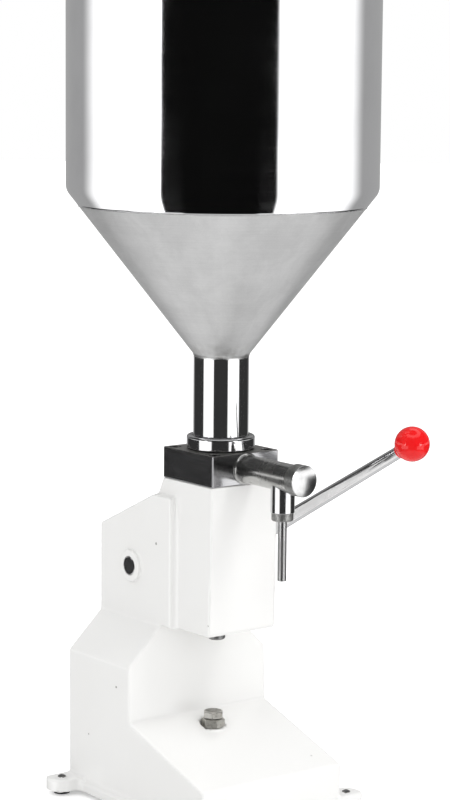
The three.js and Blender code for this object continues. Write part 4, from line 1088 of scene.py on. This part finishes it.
v, f = prism_mesh(hexagon(19, math.radians(12.5), (0, BOLT_Y)), NZ0, NZ1)
nut = new_object("stop_lock_nut", v, f)
crown = lathe("k", [(0, NZ0 - 0.01), (9.3, NZ0 - 0.01), (13.8, NZ0 + 2.6), (13.8, NZ1 - 2.6), (9.3, NZ1 + 0.01), (0, NZ1 + 0.01)], 96, "z", (0, BOLT_Y, 0))
boolean(nut, [crown], "INTERSECT")
boolean(nut, [lathe("k", [(0, 60), (6.1, 60), (6.1, 95), (0, 95)], 48, "z", (0, BOLT_Y, 0))], bevel=0.25, bevel_seg=2)
finish_piece(nut, "stand", NUT_STEEL, ["lock_nut"])

# ------------------------------------------------------------------ piston rod end and other round pieces seen from below or behind
ax = (0, AXIS_Y, 0)
PZ = zbox("piston_rod")
prof = [(0, PZ[0])] + round_profile([(6.8, PZ[0]), (8.0, PZ[0] + 1.2), (8.0, 287.9), (6.0, 288.0), (6.0, PZ[1]), (0, PZ[1])], [0, 0.6, 0.2, 0, 0, 0], 4)
rodp = lathe("piston_rod_bar", prof, 72, "z", ax)
boolean(rodp, [lathe("k", [(0, -20), (4.35, -20), (4.35, 20), (0, 20)], 48, "x", (0, AXIS_Y, 230.5))])
# the rod's darker steel is painted shade
finish_piece(rodp, "piston", SHADED_ROD_STEEL, ["piston_rod"])
GB = zbox("guide_bush")
prof = round_profile([(8.3, GB[0]), (12.5, GB[0]), (12.5, GB[1]), (8.3, GB[1])], [0.5, 0.3, 0.5, 0.5], 4, True)
finish_piece(lathe("rod_guide_bush", prof, 72, "z", ax, True), "stand", BRONZE, ["guide_bush"])
prof = round_profile([(20.2, 246), (24, 246), (24, 307.5), (20.2, 307.5)], [0.6, 0.4, 0.4, 0.6], 4, True)
finish_piece(lathe("pump_liner", prof, 96, "z", ax, True), "stand", PLAIN, ["cylinder_liner"])

# valve springs: round wire coils of even pitch
def coil(name, R, w, h0, h1, turns, axis, at, ring=12, per_turn=36):
    n = int(turns * per_turn) + 1
    verts = []
    for i in range(n):
        q = i / (n - 1)
        th, h = q * turns * 2 * math.pi, h0 + w + (h1 - h0 - 2 * w) * q
        for k in range(ring):
            ph = 2 * math.pi * k / ring
            verts.append(place(R + w * math.cos(ph), th, h + w * math.sin(ph), axis, at))
    faces = [(i * ring + k, i * ring + (k + 1) % ring, (i + 1) * ring + (k + 1) % ring, (i + 1) * ring + k) for i in range(n - 1) for k in range(ring)]
    faces += [tuple(reversed(range(ring))), tuple(range((n - 1) * ring, n * ring))]
    return new_object(name, np.array(verts), faces, 40)


S_LO, S_HI = zbox("inlet_spring")
spring_in = coil("inlet_spring_coil", 3.4, 0.5, S_LO, S_HI, 2.5, "z", (0, 0, 0))
finish_piece(spring_in, "stand", PLAIN, ["inlet_spring"], False)
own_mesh(spring_in)
o_lo, o_hi = mm_box("outlet_spring")
spring_out = coil("outlet_spring_coil", 6.4, 0.7, float(o_lo[1]) - OY, float(o_hi[1]) - OY, 6, "y", (0, 0, 322.5))
finish_piece(spring_out, "stand", PLAIN, ["outlet_spring"], False)
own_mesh(spring_out)

# CAD nodes whose shape stays: better finishes only
for node, mat in (("piston_body", PLAIN), ("piston_seal_lower", SEAL), ("piston_seal_upper", SEAL), ("cross_pin", MACHINED), ("crank_arm", MACHINED),
                  ("arm_set_screw", BLACK), ("lever_hub_screw", BLACK), ("shaft_bush_left", BRONZE), ("shaft_bush_right", BRONZE),
                  ("inlet_ball", POL_Z), ("outlet_ball", POL_Z), ("inlet_retainer", PLAIN)):
    o = N[node]
    o.data.materials.clear()
    o.data.materials.append(mat)
    shade(o, 32)

# ------------------------------------------------------------------ floor
bm = bmesh.new()
bmesh.ops.create_circle(bm, cap_ends=True, radius=14.0, segments=96)
me = bpy.data.meshes.new("floor")
bm.to_mesh(me)
bm.free()
floor = bpy.data.objects.new("floor", me)
floor.location = (0, 0, -0.0004)
bpy.context.collection.objects.link(floor)
fm = Mat("pale_floor")
fm.set("Base Color", fm.mix((0.90, 0.90, 0.90), (0.93, 0.93, 0.93), fm.noise(scale=0.004, detail=2, seed=99.0)))
fm.set("Roughness", 0.9)
fm.set("Specular IOR Level", 0.1)
lp = fm.node("ShaderNodeLightPath")
fm.set("Emission Color", (1, 1, 1))
fm.set("Emission Strength", Sock(fm.t, lp.outputs["Is Camera Ray"]) * 0.34)
floor.data.materials.append(fm.m)
floor.visible_glossy = False

# ------------------------------------------------------------------ camera
AZ, PITCH, ROLL = math.radians(-37.52), math.radians(7.98), math.radians(0.48)
back = np.array([math.sin(AZ) * math.cos(PITCH), -math.cos(AZ) * math.cos(PITCH), math.sin(PITCH)])
right = np.array([math.cos(AZ), math.sin(AZ), 0.0])
up = np.cross(back, right)
RX = math.cos(ROLL) * right + math.sin(ROLL) * up
UY = -math.sin(ROLL) * right + math.cos(ROLL) * up
C = (np.array([-1339.0, -1749.6, 689.2]) + FRAME_SHIFT) * MM
cam_data = bpy.data.cameras.new("camera")
cam = bpy.data.objects.new("camera", cam_data)
bpy.context.collection.objects.link(cam)
cam.matrix_world = Matrix(((RX[0], UY[0], back[0], C[0]), (RX[1], UY[1], back[1], C[1]), (RX[2], UY[2], back[2], C[2]), (0, 0, 0, 1)))
cam_data.sensor_width = 36.0
cam_data.lens = 36.0 * 2454.59 / 800.0
cam_data.clip_start, cam_data.clip_end = 0.05, 100
bpy.context.scene.camera = cam

# ------------------------------------------------------------------ light
world = bpy.data.worlds.new("studio")
bpy.context.scene.world = world
world.use_nodes = True
t = world.node_tree
t.nodes.clear()
tc = t.nodes.new("ShaderNodeTexCoord")
sepn = t.nodes.new("ShaderNodeSeparateXYZ")
t.links.new(tc.outputs["Generated"], sepn.inputs[0])
dx, dy, dz = (Sock(t, sepn.outputs[i]) for i in range(3))
bh = np.array([math.sin(AZ), -math.cos(AZ)])
rh = np.array([math.cos(AZ), math.sin(AZ)])
db = dx * float(bh[0]) + dy * float(bh[1])
dr = dx * float(rh[0]) + dy * float(rh[1])
phi = dr.atan2(db) * (180 / math.pi)           # 0 towards the camera, + to its right
el = dz.max(-1.0).min(1.0).asin() * (180 / math.pi)


def window(a, lo_, hi_, soft):
    return a.step(lo_ - soft, lo_ + soft) * a.step(hi_ + soft, hi_ - soft)


# tall panels either side of the camera, as a mirror-polished drum sees them
fade = mixf(0.40, 1.6, phi.abs().step(124, 100))
upper = window(el, -4.5, 3.4, 0.5)
sides = phi.step(-44.4, -46.6) + phi.step(38.4, 40.6)
lower = window(el, -26, -5.4, 0.5)
left_l = window(phi, -77, -31, 2.0)
right_l = window(phi, 28, 79, 2.5)
cores = (window(phi, -55, -47, 3.0) + window(phi, 44, 58, 3.0)) * window(el, -3.5, 7.0, 1.5) * 6.0
panels = sides * fade * upper + (left_l + right_l) * lower * 1.5 + cores
overhead = window(el, 50, 68, 3) * 1.3
ground = el.step(-26, -42) * 0.74
behind = phi.abs().step(128, 145) * window(el, 8, 48, 4) * 0.25
gloss = panels + overhead + ground + behind + lower * (0.035 + phi.abs().step(140, 156) * 0.45) + el.step(7, 11) * 0.045 + 0.003
gloss = gloss.min(8.0)

diffuse = (0.90 + dz * 0.34).max(0.5)

lpn = t.nodes.new("ShaderNodeLightPath")
is_cam, is_gloss = Sock(t, lpn.outputs["Is Camera Ray"]), Sock(t, lpn.outputs["Is Glossy Ray"])
strength = mixf(diffuse, gloss, is_gloss)
strength = mixf(strength, 1.0, is_cam)
bg = t.nodes.new("ShaderNodeBackground")
out = t.nodes.new("ShaderNodeOutputWorld")
t.links.new(strength.s, bg.inputs["Strength"])
bg.inputs["Color"].default_value = (1, 1, 1, 1)
t.links.new(bg.outputs[0], out.inputs[0])


def area(name, where, target, size, power, size_y=None):
    ld = bpy.data.lights.new(name, "AREA")
    ld.shape = "RECTANGLE"
    ld.size, ld.size_y = size, size_y or size
    ld.energy = power
    lo_ = bpy.data.objects.new(name, ld)
    bpy.context.collection.objects.link(lo_)
    lo_.location = where
    lo_.rotation_euler = (Vector(target) - Vector(where)).to_track_quat("-Z", "Y").to_euler()
    lo_.visible_glossy = False
    lo_.visible_camera = False
    return lo_


area("key", (0.55, -1.25, 1.75), (0, 0, 0.22), 0.5, 8.0)

bpy.context.scene.view_settings.view_transform = "Standard"
bpy.context.scene.view_settings.look = "None"
bpy.context.scene.view_settings.exposure = 0.0
bpy.context.scene.view_settings.gamma = 1.0
